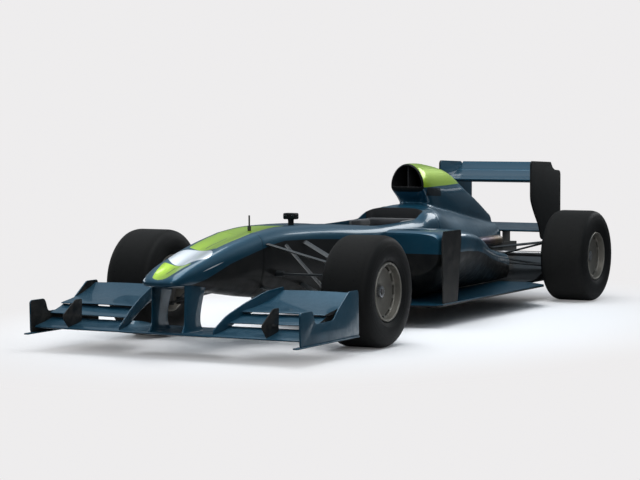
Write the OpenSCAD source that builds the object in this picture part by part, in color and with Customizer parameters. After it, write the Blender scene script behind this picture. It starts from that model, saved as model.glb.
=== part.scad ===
// Open wheel racing car: carbon survival cell with a raised nose, wings front and rear,
// sidepods, stressed engine and gearbox, and four exposed wheels on wishbones.
// Millimetres. +Z up, the nose points to -Y, the driver's left is +X, the ground is z = 0.

/* [Overall] */
// Distance from the front axle to the rear axle
wheelbase = 3450; // [2900:10:4200]
// How far the front wing's foot plates stand ahead of the front axle
nose_reach = 1150; // [1130:10:1300]
// How far the rear wing end plates stand behind the rear axle
tail_reach = 580; // [520:10:760]
// Width over the tyres, which is the widest of the car
track_width = 1800; // [1700:10:2200]

/* [Wheels] */
// Radius of all four tyres
tyre_r = 330; // [300:5:350]
// Width of a front tyre
front_tyre_w = 320; // [240:5:360]
// Width of a rear tyre
rear_tyre_w = 345; // [290:5:400]
// Radius of the rim at its lips
rim_r = 182; // [165:1:200]
// Steering angle of a front wheel to each side
steer_deg = 16; // [8:1:18]

/* [Body] */
// Half width of the survival cell beside the driver
cell_half_w = 265; // [240:5:300]
// Length of the cockpit opening
cockpit_l = 1150; // [1000:10:1170]
// Width of the cockpit opening
cockpit_w = 420; // [380:5:440]
// Wall of the survival cell
cell_wall = 22; // [15:1:30]
// Half width of the floor
floor_half_w = 700; // [600:10:760]
// Underside of the floor above the ground
floor_z = 140; // [100:5:160]
// Thickness of the floor
floor_t = 16; // [10:1:25]
// How far the sidepods reach from the centre line
pod_half_w = 680; // [600:10:740]
// Height of the top of the air intake
intake_top_z = 1025; // [960:5:1080]
// Wall of the engine cover
cover_wall = 10; // [6:1:16]

/* [Front wing] */
// Span of the front wing over its foot plates
front_wing_span = 1800; // [1500:10:2100]
// Height of the front wing's leading edge
front_wing_z = 130; // [110:5:160]
// Chord of the front wing's plain middle part
front_wing_chord = 330; // [270:10:400]
// Height of the front wing's end plates
front_plate_h = 267; // [220:5:280]

/* [Rear wing] */
// Span of the rear wing between the outsides of its end plates
rear_wing_span = 750; // [600:10:1000]
// Height of the top of the rear wing
rear_wing_top_z = 1005; // [900:5:1080]
// Thickness of the rear end plates
rear_plate_t = 12; // [8:1:20]

/* [Hidden] */

body_green = [0.07, 0.22, 0.28];
carbon = [0.06, 0.06, 0.065];
rubber = [0.03, 0.03, 0.03];
alloy = [0.35, 0.33, 0.30];
steel = [0.55, 0.55, 0.57];

// ---- stations: s is the distance behind the front axle ----
car_l = nose_reach + wheelbase + tail_reach;
front_axle_y = nose_reach - car_l / 2;
rear_axle_y = front_axle_y + wheelbase;
// Stations between the axles are written for a wheelbase of 3450 and stretch with it.
function at(s) = front_axle_y + (s <= 0 ? s : s >= 3450 ? s - 3450 + wheelbase : s * wheelbase / 3450);
fit_gap = 0.4; // left between pieces that would otherwise meet on curved skins
run_gap = 0.05; // radial clearance of a turning or sliding fit

// ---- loft helpers ----
ring_points = 28;
// How far the hollow between two raised shoulders lowers the top of a ring at x.
function hollow(x, w, dip) = abs(x) < 0.9 * w ? dip * (1 + cos(200 * x / w)) / 2 : 0;
// One closed ring: a superellipse whose upper and lower halves have their own height and power.
// x0 centre, w half width, zt top, zm widest height, zb bottom, nt and nb powers, dip of the hollow.
function ring(x0, w, zt, zm, zb, nt, nb, dip) = [
    for (i = [0:ring_points - 1])
        let (a = 360 * i / ring_points, c = cos(a), s = sin(a), n = s >= 0 ? nt : nb,
             x = w * sign(c) * pow(abs(c), 2 / n))
        [x0 + x,
         s >= 0 ? zm + (zt - zm) * pow(s, 2 / n) - hollow(x, w, dip) : zm - (zm - zb) * pow(-s, 2 / n)]
];
// Joins rings at stations ys into one closed solid.
module loft(rings, ys) {
    n = len(rings[0]);
    m = len(rings);
    points = [for (j = [0:m - 1]) for (p = rings[j]) [p[0], ys[j], p[1]]];
    sides = [for (j = [0:m - 2]) for (i = [0:n - 1])
        let (a = j * n + i, b = j * n + (i + 1) % n)
        each [[a, b, a + n], [b, b + n, a + n]]];
    caps = [[for (i = [0:n - 1]) n - 1 - i], [for (i = [0:n - 1]) (m - 1) * n + i]];
    polyhedron(points, concat(sides, caps), convexity = 6);
}
// Lofts a table of [station, half width, top, widest height, bottom, upper power, lower power],
// with the hollow of the top as an eighth number where there is one.
module body_loft(table, x0 = 0, grow = 0) {
    loft([for (r = table)
             ring(x0, r[1] + grow, r[2] + grow, r[3], r[4] - grow, r[5], r[6], len(r) > 7 ? r[7] : 0)],
         [for (r = table) at(r[0])]);
}
module both_sides() {
    children();
    mirror([1, 0, 0]) children();
}
// A streamlined arm between two points: an elongated section laid flat along Y.
module arm(p, q, chord, thick) {
    v = q - p;
    l = norm(v);
    side = atan2(v[2], sqrt(v[0] * v[0] + v[1] * v[1]));
    translate(p)
        rotate([0, 0, atan2(v[1], v[0])])
            rotate([0, -side, 0])
                rotate([90, 0, 90])
                    linear_extrude(l)
                        wing_outline(chord, thick, -chord / 2);
}
// Wing section outline, drawn with its chord along x from x0 and its thickness along y.
function foil_y(t, thick) = thick * 5 * (0.2969 * sqrt(t) - 0.126 * t - 0.3516 * t * t
    + 0.2843 * pow(t, 3) - 0.1036 * pow(t, 4));
module wing_outline(chord, thick, x0 = 0, camber = 0, steps = 10) {
    ts = [for (i = [0:steps]) pow(i / steps, 1.6)];
    function mid(t) = -4 * camber * t * (1 - t);
    upper = [for (t = ts) [x0 + chord * t, mid(t) + foil_y(t, thick) + 0.4]];
    lower = [for (i = [steps:-1:1]) let (t = ts[i]) [x0 + chord * t, mid(t) - foil_y(t, thick) - 0.4]];
    polygon(concat(upper, lower));
}
// A wing element across the car: span along X, chord towards +Y, nose down by -angle.
module wing_element(x_from, x_to, y, z, chord, thick, camber, angle) {
    translate([x_from, y, z])
        rotate([angle, 0, 0])
            rotate([90, 0, 90])
                linear_extrude(x_to - x_from)
                    wing_outline(chord, thick, 0, camber);
}

// ---- shared sizes ----
floor_top = floor_z + floor_t;
front_x = track_width / 2 - front_tyre_w / 2; // centre plane of a front wheel
rear_x = track_width / 2 - rear_tyre_w / 2;
pin_inset = 120; // steering axis, in from the centre plane of a front wheel
pin_x = front_x - pin_inset;
pin_r = 12;
ball_dz = 115; // upper and lower outer pick-ups above and below the axle
arm_dy = 85; // steering arm ahead of the steering axis
rack_dz = 90; // rack and tie rods above the axle
steer_pin_r = 8; // pin at the end of a steering arm
pin_swing = arm_dy * (1 - cos(steer_deg)); // how far that pin moves back at full lock
tie_eye_r = steer_pin_r + pin_swing + 9; // room inside the tie rod's eye
rack_r = 18;
rack_half = 232;
spindle_r = 22;
hub_back = 124; // hub faces, in from the outer side of the tyre
hub_face = 83;
nut_l = 26; // free end of each axle, where the wheel nut goes
nut_r = 17;
spindle_l = pin_inset + front_tyre_w / 2 - hub_face;
shaft_r = 20;
seal_gap = 2; // round a drive shaft where it enters the gearbox
hub_r = 36;
rim_wall = 16;
slot_count = 12; // slots round the edge of a rim's disc
slot_half = 11; // degrees to each side of a slot's middle
slot_in = 30; // edges of a slot, in from the outside of the rim
slot_out = 18;

// ---- nose and survival cell ----
nose_table = [
    // station, half width, top, widest height, bottom, upper power, lower power, hollow
    [-nose_reach + 15, 74, 444, 430, 414, 2.4, 2.4, 3],
    [-nose_reach + 30, 98, 458, 432, 408, 2.6, 2.6, 8],
    [-1070, 117, 486, 436, 402, 2.9, 2.8, 22],
    [-980, 134, 523, 446, 396, 3.1, 2.8, 34],
    [-800, 152, 574, 468, 372, 3.2, 2.8, 34],
    [-560, 168, 632, 502, 335, 3.2, 2.8, 29],
    [-250, 182, 686, 546, 290, 3.2, 2.8, 28]
];
cell_front = -250;
cell_back = 2030;
cell_table = [
    [cell_front, 182, 686, 546, 290, 3.2, 2.8, 28],
    [0, 193, 704, 568, 262, 3.2, 2.8, 26],
    [300, 208, 703, 575, 232, 3.2, 3.0, 22],
    [620, 232, 690, 570, 205, 3.4, 3.4, 12],
    [900, 252, 668, 545, 180, 4.0, 4.0],
    [1200, cell_half_w, 655, 500, floor_top, 5.0, 5.0],
    [1600, cell_half_w, 664, 480, floor_top, 5.0, 5.0],
    [1780, cell_half_w + 6, 676, 480, floor_top, 4.6, 5.0],
    [1890, cell_half_w + 10, 722, 480, floor_top, 4.2, 5.0],
    [cell_back, cell_half_w + 12, 730, 480, floor_top, 4.0, 5.0]
];
cockpit_front_y = at(780);
cockpit_back_y = cockpit_front_y + cockpit_l;
cavity_table = [
    [-150, 130, 650, 500, 330, 3.0, 3.0],
    [500, 175, 650, 500, 270, 3.2, 3.2],
    [900, 252 - cell_wall, 640, 480, 240, 4.0, 3.4],
    [1200, cell_half_w - cell_wall, 630, 470, 230, 4.0, 3.4],
    [1980, cell_half_w - cell_wall, 640, 440, 230, 4.0, 3.4]
];
module nose_cone() {
    color(body_green) body_loft(nose_table);
}
// The opening seen from above: pointed at the front, square behind the driver.
module cockpit_opening() {
    half = cockpit_w / 2;
    translate([0, 0, 520])
        linear_extrude(400)
            polygon([[half * 0.30, cockpit_front_y], [half * 0.62, cockpit_front_y + 60],
                     [half * 0.95, cockpit_front_y + 330], [half, cockpit_front_y + 420],
                     [half, cockpit_back_y], [-half, cockpit_back_y],
                     [-half, cockpit_front_y + 420], [-half * 0.95, cockpit_front_y + 330],
                     [-half * 0.62, cockpit_front_y + 60], [-half * 0.30, cockpit_front_y]]);
}
dash_y = at(1040);
dash_t = 30;
wheel_y = at(1290);
wheel_z = 575;
column_tilt = 10;
column_r = 14;
column_l = wheel_y - dash_y + 40;
// Along the steering column, from the steering wheel forwards.
module on_column() {
    translate([0, wheel_y, wheel_z]) rotate([90 + column_tilt, 0, 0]) children();
}
module survival_cell() {
    color(body_green)
        difference() {
            body_loft(cell_table);
            difference() {
                body_loft(cavity_table);
                translate([-400, dash_y, 500]) cube([800, dash_t, 400]);
            }
            cockpit_opening();
            // the column passes the dash bulkhead
            on_column() cylinder(h = column_l + 100, r = column_r + run_gap, $fn = 48);
            // the rack passes the cell ahead of the front axle
            translate([-400, at(0) - arm_dy, tyre_r + rack_dz])
                rotate([0, 90, 0]) cylinder(h = 800, r = rack_r + run_gap, $fn = 48);
        }
}
module headrest() {
    half = cockpit_w / 2;
    back = cockpit_back_y;
    color(carbon)
        translate([0, 0, 595])
            linear_extrude(62)
                polygon([[half, back - 330], [half, back], [-half, back], [-half, back - 330],
                         [-half + 30, back - 330], [-half + 52, back - 250], [-half + 52, back - 90],
                         [-half + 100, back - 60], [half - 100, back - 60], [half - 52, back - 90],
                         [half - 52, back - 250], [half - 30, back - 330]]);
}
// Reclined bucket: a thin pan and back between two side walls.
seat_half = 158;
module seat_side(t) {
    y0 = at(1420);
    y1 = at(1640);
    y2 = at(1900);
    polygon([[y0, 268], [y1 - 40, 256], [y1, 268], [y2, 560], [y2 - 18, 575],
             [y1 - 150 * t - 16, 280 + 120 * t], [y0 + 30, 280 + 80 * t], [y0, 280 + 20 * t]]);
}
module seat() {
    color(carbon)
        for (x = [-seat_half, seat_half - 14])
            translate([x, 0, 0]) rotate([90, 0, 90]) linear_extrude(14) seat_side(1);
    color(carbon)
        translate([-seat_half, 0, 0]) rotate([90, 0, 90]) linear_extrude(2 * seat_half) seat_side(0);
}

// ---- engine cover ----
cover_open_z = 420;
cover_table = [
    [cell_back + 1, cell_half_w + 11, 730, 480, 300, 4.0, 6],
    [2130, cell_half_w + 8, 745, 470, 300, 3.0, 6],
    [2300, cell_half_w - 6, 735, 460, 300, 2.2, 6],
    [2600, cell_half_w - 30, 700, 440, 300, 1.8, 6],
    [2900, cell_half_w - 69, 655, 430, 300, 1.6, 6],
    [3200, cell_half_w - 117, 605, 425, 300, 1.6, 6],
    [3450, 96, 566, 425, 300, 1.6, 6],
    [3620, 58, 545, 425, 300, 1.8, 6]
];
spine_table = [
    [2085, 124, intake_top_z, 868, 846, 1.9, 5],
    [2150, 128, intake_top_z + 1, 868, 770, 1.9, 3.0],
    [2300, 116, intake_top_z - 5, 820, 600, 1.8, 3.0],
    [2642, 84, intake_top_z - 50, 740, 560, 1.6, 3.0],
    [2815, 68, intake_top_z - 98, 700, 540, 1.5, 3.0],
    [3028, 50, intake_top_z - 191, 640, 520, 1.5, 3.0],
    [3282, 34, intake_top_z - 296, 570, 480, 1.5, 3.0],
    [3540, 22, intake_top_z - 418, 500, 440, 1.5, 3.0]
];
tunnel_table = [
    [2060, 124 - cover_wall - 1, intake_top_z - cover_wall, 870, 858, 1.9, 5],
    [2150, 128 - cover_wall - 4, intake_top_z - cover_wall - 4, 868, 852, 1.9, 5],
    [2300, 116 - cover_wall - 8, intake_top_z - cover_wall - 16, 820, 640, 1.8, 3.0],
    [2600, 88 - cover_wall - 20, intake_top_z - 85, 740, 560, 1.7, 3.0]
];
bay_table = [
    [2000, cell_half_w - cover_wall, 715, 480, 290, 4.0, 6],
    [2130, cell_half_w + 8 - cover_wall, 745 - cover_wall - 5, 470, 290, 3.0, 6],
    [2300, cell_half_w - 6 - cover_wall, 735 - cover_wall - 5, 460, 290, 2.2, 6],
    [2600, cell_half_w - 30 - cover_wall, 700 - cover_wall - 5, 440, 290, 1.8, 6],
    [2900, cell_half_w - 69 - cover_wall, 655 - cover_wall - 5, 430, 290, 1.6, 6],
    [3200, cell_half_w - 117 - cover_wall, 605 - cover_wall - 5, 425, 290, 1.6, 6],
    [3450, 96 - cover_wall, 566 - cover_wall - 5, 425, 290, 1.6, 6],
    [3590, 64 - cover_wall, 545 - cover_wall - 5, 425, 290, 1.8, 6]
];
module engine_cover() {
    color(body_green)
        difference() {
            union() {
                body_loft(cover_table);
                body_loft(spine_table);
            }
            difference() {
                body_loft(tunnel_table);
                // the splitter standing in the intake
                translate([-4, at(2110), 840]) cube([8, at(2230) - at(2110), 200]);
            }
            body_loft(bay_table);
            translate([-500, at(1900), 0]) cube([1000, at(3700) - at(1900), cover_open_z]);
        }
}

// ---- sidepods ----
pod_x = cell_half_w + 12 + fit_gap; // inner face of a sidepod
pod_mid = 250;
pod_w = pod_half_w - pod_mid;
pod_table = [
    [1190, pod_w - 26, 602, 500, 318, 5, 3],
    [1230, pod_w - 6, 616, 505, 280, 5, 2.6],
    [1400, pod_w, 620, 515, floor_top + 1, 5, 1.9],
    [1600, pod_w, 612, 515, floor_top + 1, 4.5, 1.8],
    [1850, pod_w - 30, 585, 490, floor_top + 1, 4, 1.7],
    [2100, pod_w * 0.79, 535, 450, floor_top + 1, 3.6, 1.7],
    [2400, pod_w * 0.57, 470, 400, floor_top + 1, 3.2, 1.8],
    [2700, pod_w * 0.36, 418, 350, floor_top + 1, 3.0, 2.0],
    [3000, pod_w * 0.20, 376, 310, floor_top + 1, 2.6, 2.2],
    [3200, pod_w * 0.12, 345, 280, floor_top + 1, 2.4, 2.4]
];
inlet_x = (pod_x + pod_half_w) / 2 - 22;
inlet_w = (pod_half_w - pod_x) / 2 - 55;
inlet_table = [
    [1170, inlet_w, 580, 500, 335, 5, 2.4],
    [1400, inlet_w - 4, 575, 480, 325, 5, 2.8],
    [1650, inlet_w - 14, 560, 440, 300, 5, 4]
];
core_y = at(1600);
core_t = 70;
core_w = 2 * (inlet_w - 30);
module core_block(x_side) {
    translate([x_side * inlet_x - core_w / 2, core_y, 320]) cube([core_w, core_t, 220]);
}
module sidepod(side) {
    difference() {
        mirror([side < 0 ? 1 : 0, 0, 0])
            difference() {
                body_loft(pod_table, x0 = pod_mid);
                translate([-500, at(1100), 0]) cube([500 + pod_x, at(3300) - at(1100), 900]);
                body_loft(inlet_table, x0 = inlet_x);
                body_loft(cover_table, grow = fit_gap);
            }
        core_block(side);
    }
}
module sidepod_left() { color(body_green) sidepod(1); }
module sidepod_right() { color(body_green) sidepod(-1); }
// Cores standing in the inlets.
module radiators() {
    color(steel) for (side = [-1, 1]) core_block(side);
}

// ---- floor ----
diffuser_y = at(3200);
diffuser_l = 560;
diffuser_rise = 150;
floor_tail_half = track_width / 2 - rear_tyre_w - 60;
module floor() {
    color(carbon) {
        translate([0, 0, floor_z])
            linear_extrude(floor_t)
                polygon(concat(
                    [[80, at(430)], [140, at(450)], [150, at(760)], [430, at(870)], [500, at(1060)],
                     [floor_half_w - 20, at(1110)], [floor_half_w, at(1160)], [floor_half_w, at(2880)],
                     [floor_tail_half, at(3050)], [floor_tail_half, diffuser_y]],
                    [[-floor_tail_half, diffuser_y], [-floor_tail_half, at(3050)], [-floor_half_w, at(2880)],
                     [-floor_half_w, at(1160)], [-floor_half_w + 20, at(1110)], [-500, at(1060)],
                     [-430, at(870)], [-150, at(760)], [-140, at(450)], [-80, at(430)]]));
        // plank under the centre
        translate([-120, at(470), floor_z - 12]) cube([240, at(3120) - at(470), 12]);
        // diffuser: a ramp with side walls and fences
        translate([-floor_tail_half, 0, 0])
            rotate([90, 0, 90])
                linear_extrude(2 * floor_tail_half)
                    polygon([[diffuser_y, floor_z], [diffuser_y + diffuser_l, floor_z + diffuser_rise],
                             [diffuser_y + diffuser_l, floor_z + diffuser_rise + 12],
                             [diffuser_y, floor_top]]);
        for (x = [-floor_tail_half, -300, -110, 100, 290, floor_tail_half - 10])
            translate([x, 0, 0])
                rotate([90, 0, 90])
                    linear_extrude(10)
                        polygon([[diffuser_y, floor_z], [diffuser_y + diffuser_l, floor_z],
                                 [diffuser_y + diffuser_l, floor_z + diffuser_rise + 6]]);
    }
}
// A curved vertical vane standing on the floor, an arc of radius r about (cx, cy).
module vane(cx, cy, r, t, a0, a1, z1) {
    steps = 6;
    function on_arc(i, r) = let (a = a0 + (a1 - a0) * i / steps) [cx + r * cos(a), cy + r * sin(a)];
    outer = [for (i = [0:steps]) on_arc(i, r)];
    inner = [for (i = [steps:-1:0]) on_arc(i, r - t)];
    translate([0, 0, floor_top]) linear_extrude(z1 - floor_top) polygon(concat(outer, inner));
}
module bargeboards() {
    color(carbon)
        both_sides() vane(300 - 340, at(1080), 500, 8, -24, 6, 400);
}
module sidepod_vanes() {
    color(carbon)
        both_sides()
            translate([floor_half_w - 14, 0, 0])
                rotate([90, 0, 90])
                    linear_extrude(8)
                        polygon([[at(1180), floor_top], [at(1400), floor_top], [at(1460), 560],
                                 [at(1450), 618], [at(1190), 618], [at(1165), 560]]);
}

// ---- front wing ----
wing_le = at(-1060);
wing_z = front_wing_z + 12;
plate_x = front_wing_span / 2 - 10; // outer face of an end plate
plate_t = 10;
plate_in = plate_x - plate_t;
foot_z = front_wing_z - 25;
mid_half = 285; // half span of the plain middle part
flap_in = 300; // inner ends of the flaps at their front
flap_sweep = 10.8; // the inner ends run outwards towards the rear
main_t = 22; // thickness of the main plane
outer_chord = 180; // chord of the main plane under the flaps
// The main plane, or with a gap the room that the pieces standing on it leave.
module front_main(gap = 0) {
    thick = main_t + 2 * gap;
    over = gap > 0 ? 1 : 0;
    wing_element(-mid_half - over, mid_half + over, wing_le, wing_z, front_wing_chord, thick, 8, 2);
    both_sides() wing_element(mid_half - 5, plate_in, wing_le, wing_z, outer_chord, thick, 9, 14);
}
module front_wing_main_plane() {
    color(body_green) front_main();
}
// Runs along the inner ends of the flaps.
module at_flap_end() {
    translate([flap_in, at(-1010), 0]) rotate([0, 0, -flap_sweep]) children();
}
module front_wing_flaps() {
    color(body_green)
        both_sides()
            difference() {
                union() {
                    difference() {
                        union() {
                            wing_element(flap_in, plate_in, at(-905), wing_z + 63, 140, 13, 8, 18);
                            wing_element(flap_in, plate_in, at(-795), wing_z + 118, 372, 17, 20, 15);
                        }
                        at_flap_end() translate([-400, -300, 0]) cube([400, 1500, 900]);
                    }
                    at_flap_end()
                        rotate([90, 0, 90])
                            linear_extrude(8)
                                polygon([[-30, wing_z - 2], [120, wing_z + 38], [240, wing_z + 88],
                                         [440, wing_z + 140], [578, wing_z + 190], [590, wing_z + 236],
                                         [430, wing_z + 218], [250, wing_z + 165], [100, wing_z + 108],
                                         [-30, wing_z + 30]]);
                }
                front_main(fit_gap);
            }
}
module front_wing_end_plates() {
    z1 = foot_z + front_plate_h;
    front = at(-nose_reach);
    color(body_green)
        both_sides() {
            translate([plate_in, 0, 0])
                rotate([90, 0, 90])
                    linear_extrude(plate_t)
                        polygon([[front + 55, foot_z], [front + 50, z1 - 84], [front + 62, z1 - 72],
                                 [front + 190, z1 - 72], [front + 208, z1 - 96], [front + 225, z1 - 148],
                                 [front + 440, z1 - 145], [front + 485, z1 - 98], [front + 625, z1 - 3],
                                 [front + 640, z1], [front + 735, z1], [front + 745, z1 - 10],
                                 [front + 752, foot_z]]);
            translate([plate_in - 14, front, foot_z]) cube([14 + plate_t + 10, 752, 8]);
        }
}
// Small upright vanes standing on the main plane.
vane_x = 650;
module front_wing_vanes() {
    color(carbon)
        difference() {
            both_sides()
                translate([vane_x, 0, 0])
                    rotate([90, 0, 90])
                        linear_extrude(6)
                            polygon([[wing_le + 12, wing_z], [wing_le - 42, wing_z + 62],
                                     [wing_le - 38, wing_z + 84], [wing_le + 85, wing_z + 162],
                                     [wing_le + 150, wing_z + 162], [wing_le + 145, wing_z + 30]]);
            front_main(fit_gap);
        }
}
module front_wing_pylons() {
    color(body_green)
        difference() {
            both_sides()
                translate([100, 0, 0])
                    rotate([90, 0, 90])
                        linear_extrude(16)
                            polygon([[wing_le + 12, wing_z], [wing_le + 42, wing_z + 50],
                                     [wing_le + 46, 425], [wing_le + 300, 425],
                                     [wing_le + 215, wing_z + 70], [wing_le + 250, wing_z]]);
            front_main(fit_gap);
            body_loft(nose_table, grow = fit_gap);
        }
}

// ---- rear wing ----
rear_in = rear_wing_span / 2 - rear_plate_t;
module rear_wing_planes() {
    color(carbon) {
        wing_element(-rear_in, rear_in, at(3460), rear_wing_top_z - 130, 300, 34, 26, 12);
        wing_element(-rear_in, rear_in, at(3755), rear_wing_top_z - 70, 125, 18, 8, 32);
    }
}
module rear_wing_end_plates() {
    z = rear_wing_top_z;
    color(carbon)
        for (x = [-rear_wing_span / 2, rear_in])
            translate([x, 0, 0])
                rotate([90, 0, 90])
                    linear_extrude(rear_plate_t)
                        polygon([[at(3435), z - 6], [at(3455), z + 12], [at(3833), z - 2],
                                 [at(3860), z - 40], [at(3905), z - 62], [rear_axle_y + tail_reach, z - 70],
                                 [rear_axle_y + tail_reach, 425], [at(3640), 425], [at(3610), 520],
                                 [at(3500), 640], [at(3436), 730]]);
}
beam_y = at(3655);
beam_z = 488;
beam_angle = 12;
beam_chord = 230;
beam_t = 24;
beam_camber = 14;
module beam_wing() {
    color(carbon)
        wing_element(-rear_in, rear_in, beam_y, beam_z, beam_chord, beam_t, beam_camber, beam_angle);
}

// ---- engine, gearbox and tail ----
engine_half = 165;
box_half = 96;
module engine_block() {
    color(steel)
        translate([-engine_half, at(cell_back), floor_top])
            cube([engine_half * 2, at(2600) - at(cell_back), 540 - floor_top]);
}
module gearbox() {
    color(alloy)
        difference() {
            union() {
                translate([0, 0, floor_top])
                    linear_extrude(400 - floor_top)
                        polygon([[160, at(2600)], [160, at(2700)], [box_half, at(2950)],
                                 [box_half, at(3560)], [-box_half, at(3560)], [-box_half, at(2950)],
                                 [-160, at(2700)], [-160, at(2600)]]);
                // crash structure
                rotate([90, 0, 90])
                    linear_extrude(110, center = true)
                        polygon([[at(3560), 300], [at(3560), 400], [at(3930), 392], [at(3930), 320]]);
                // two plates carrying the beam wing
                for (x = [-45, 35])
                    translate([x, beam_y + 40, 380]) cube([10, 130, beam_z - 380 + 12]);
            }
            // the beam wing lies on its two plates
            translate([-rear_in, beam_y, beam_z])
                rotate([beam_angle, 0, 0])
                    rotate([90, 0, 90])
                        linear_extrude(2 * rear_in)
                            polygon(concat([[0, 200], [beam_chord, 200]],
                                [for (i = [10:-1:0]) let (t = pow(i / 10, 1.6))
                                    [beam_chord * t,
                                     -4 * beam_camber * t * (1 - t) - foil_y(t, beam_t) - 0.4]]));
            // the ramp of the diffuser passes under the gearbox
            translate([-200, 0, 0])
                rotate([90, 0, 90])
                    linear_extrude(400)
                        polygon([[diffuser_y - 1, floor_top], [diffuser_y, floor_top],
                                 [diffuser_y + diffuser_l, floor_z + diffuser_rise + 12],
                                 [diffuser_y + diffuser_l, 0], [diffuser_y - 1, 0]]);
            // drive shafts enter here
            for (side = [-1, 1])
                translate([side * (box_half + 1), rear_axle_y, tyre_r])
                    rotate([0, -side * 90, 0]) cylinder(h = 46, r = shaft_r + seal_gap, $fn = 48);
        }
}
module rain_light() {
    color([0.5, 0.02, 0.02])
        translate([-35, at(3930), 322]) cube([70, 18, 68]);
}
exhaust_x = cell_half_w - 7; // in the corner between the cover and a sidepod
module exhausts() {
    color(steel)
        difference() {
            both_sides()
                translate([exhaust_x, at(2640), 450])
                    rotate([-90, 0, 0])
                        difference() {
                            cylinder(h = at(3090) - at(2640), r = 38, $fn = 40);
                            translate([0, 0, 60]) cylinder(h = 600, r = 35, $fn = 40);
                        }
            body_loft(cover_table, grow = fit_gap);
            both_sides() body_loft(pod_table, x0 = pod_mid, grow = fit_gap);
        }
}

// ---- small pieces on the cell ----
module nose_camera() {
    color(carbon)
        difference() {
            union() {
                translate([-43, at(395), 717]) cube([86, 56, 39]);
                translate([-20, at(400), 660]) cube([40, 46, 60]);
            }
            body_loft(cell_table, grow = fit_gap);
        }
}
module aerials() {
    color(carbon)
        difference() {
            union() {
                translate([0, at(-95), 655]) cylinder(h = 109, r = 5, $fn = 24);
                translate([0, at(-95), 655]) cylinder(h = 44, r = 11, $fn = 24);
            }
            body_loft(cell_table, grow = fit_gap);
        }
}

// ---- front suspension ----
up_z = tyre_r + ball_dz;
low_z = tyre_r - ball_dz;
eye_r = 24;
eye_h = 20;
arm_chord = 46;
arm_thick = 16;
rod_pad_x = pin_x - 70;
module front_wishbones() {
    color(carbon)
        difference() {
            both_sides() {
                for (s = [-205, 255]) {
                    arm([pin_x, at(0), up_z + eye_h / 2], [150, at(0) + s, 610], arm_chord, arm_thick);
                    arm([pin_x, at(0), low_z - eye_h / 2], [140, at(0) + s, 345], arm_chord, arm_thick);
                }
                translate([pin_x, at(0), up_z]) cylinder(h = eye_h, r = eye_r, $fn = 48);
                translate([pin_x, at(0), low_z - eye_h]) cylinder(h = eye_h, r = eye_r, $fn = 48);
                // bracket for the pushrod
                translate([rod_pad_x - 16, at(0) - 16, low_z - 12]) cube([32, 32, 44]);
            }
            both_sides()
                translate([pin_x, at(0), 0]) cylinder(h = 900, r = pin_r + run_gap, $fn = 48);
            // room for the turning upright between the eyes
            both_sides()
                translate([pin_x, at(0), low_z]) cylinder(h = up_z - low_z, r = eye_r + 8, $fn = 48);
            body_loft(cell_table, grow = fit_gap);
        }
}
module front_pushrods() {
    color(carbon)
        difference() {
            both_sides() arm([rod_pad_x, at(0), low_z + 20], [150, at(0) + 10, 622], 34, 17);
            both_sides() translate([rod_pad_x - 40, at(0) - 40, low_z - 68]) cube([80, 80, 100]);
            body_loft(cell_table, grow = fit_gap);
        }
}
// The steered upright: post between the eyes, spindle, brake drum and steering arm.
drum_r = 148;
module front_upright() {
    color(alloy)
        translate([pin_x, at(0), 0]) {
            // post and its two pins
            translate([0, 0, low_z + 6]) cylinder(h = up_z - low_z - 12, r = eye_r - 2, $fn = 48);
            translate([0, 0, low_z - eye_h]) cylinder(h = up_z - low_z + 2 * eye_h, r = pin_r, $fn = 48);
            // spindle
            translate([0, 0, tyre_r]) rotate([0, 90, 0]) cylinder(h = spindle_l, r = spindle_r, $fn = 48);
            translate([spindle_l - 1, 0, tyre_r])
                rotate([0, 90, 0]) cylinder(h = nut_l + 1, r = nut_r, $fn = 48);
            translate([0, 0, tyre_r]) rotate([0, 90, 0]) cylinder(h = 60, r = 50, $fn = 48);
            // brake drum
            translate([40, 0, tyre_r])
                rotate([0, 90, 0])
                    difference() {
                        cylinder(h = 96, r = drum_r, $fn = 64);
                        translate([0, 0, 8]) cylinder(h = 100, r = drum_r - 6, $fn = 64);
                    }
            // steering arm with its pin
            translate([-8, -arm_dy - 8, tyre_r + rack_dz - 26]) cube([16, arm_dy, 14]);
            translate([0, -arm_dy, tyre_r + rack_dz - 26]) cylinder(h = 14, r = 14, $fn = 36);
            translate([0, -arm_dy, tyre_r + rack_dz - 20]) cylinder(h = 34, r = steer_pin_r, $fn = 36);
        }
}
module front_upright_left() { front_upright(); }
module front_upright_right() { mirror([1, 0, 0]) front_upright(); }
// Rack with its tie rods; the eye at each end leaves room about the pin of the steering arm.
module steering_rack() {
    y = at(0) - arm_dy;
    z = tyre_r + rack_dz;
    color(carbon)
        difference() {
            union() {
                translate([-rack_half, y, z])
                    rotate([0, 90, 0]) cylinder(h = 2 * rack_half, r = rack_r, $fn = 48);
                both_sides() {
                    arm([rack_half - 6, y, z], [pin_x - 18, y, z], 34, 14);
                    translate([pin_x, y, z - 7]) cylinder(h = 14, r = tie_eye_r + 8, $fn = 48);
                }
            }
            both_sides() translate([pin_x, y, z - 20]) cylinder(h = 40, r = tie_eye_r, $fn = 48);
        }
}
module steering_wheel() {
    color(carbon)
        on_column() {
            cylinder(h = column_l, r = column_r, $fn = 48);
            cylinder(h = 50, r = 30, $fn = 36);
            // hand grips and face
            translate([-75, -48, -14]) cube([150, 100, 24]);
            for (x = [-1, 1])
                translate([x * 100, 0, -2])
                    rotate([90, 0, 0])
                        translate([0, 0, -62]) cylinder(h = 124, r = 17, $fn = 32);
            translate([-110, 40, -12]) cube([220, 20, 20]);
            translate([-110, -58, -12]) cube([220, 18, 20]);
        }
}

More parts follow.
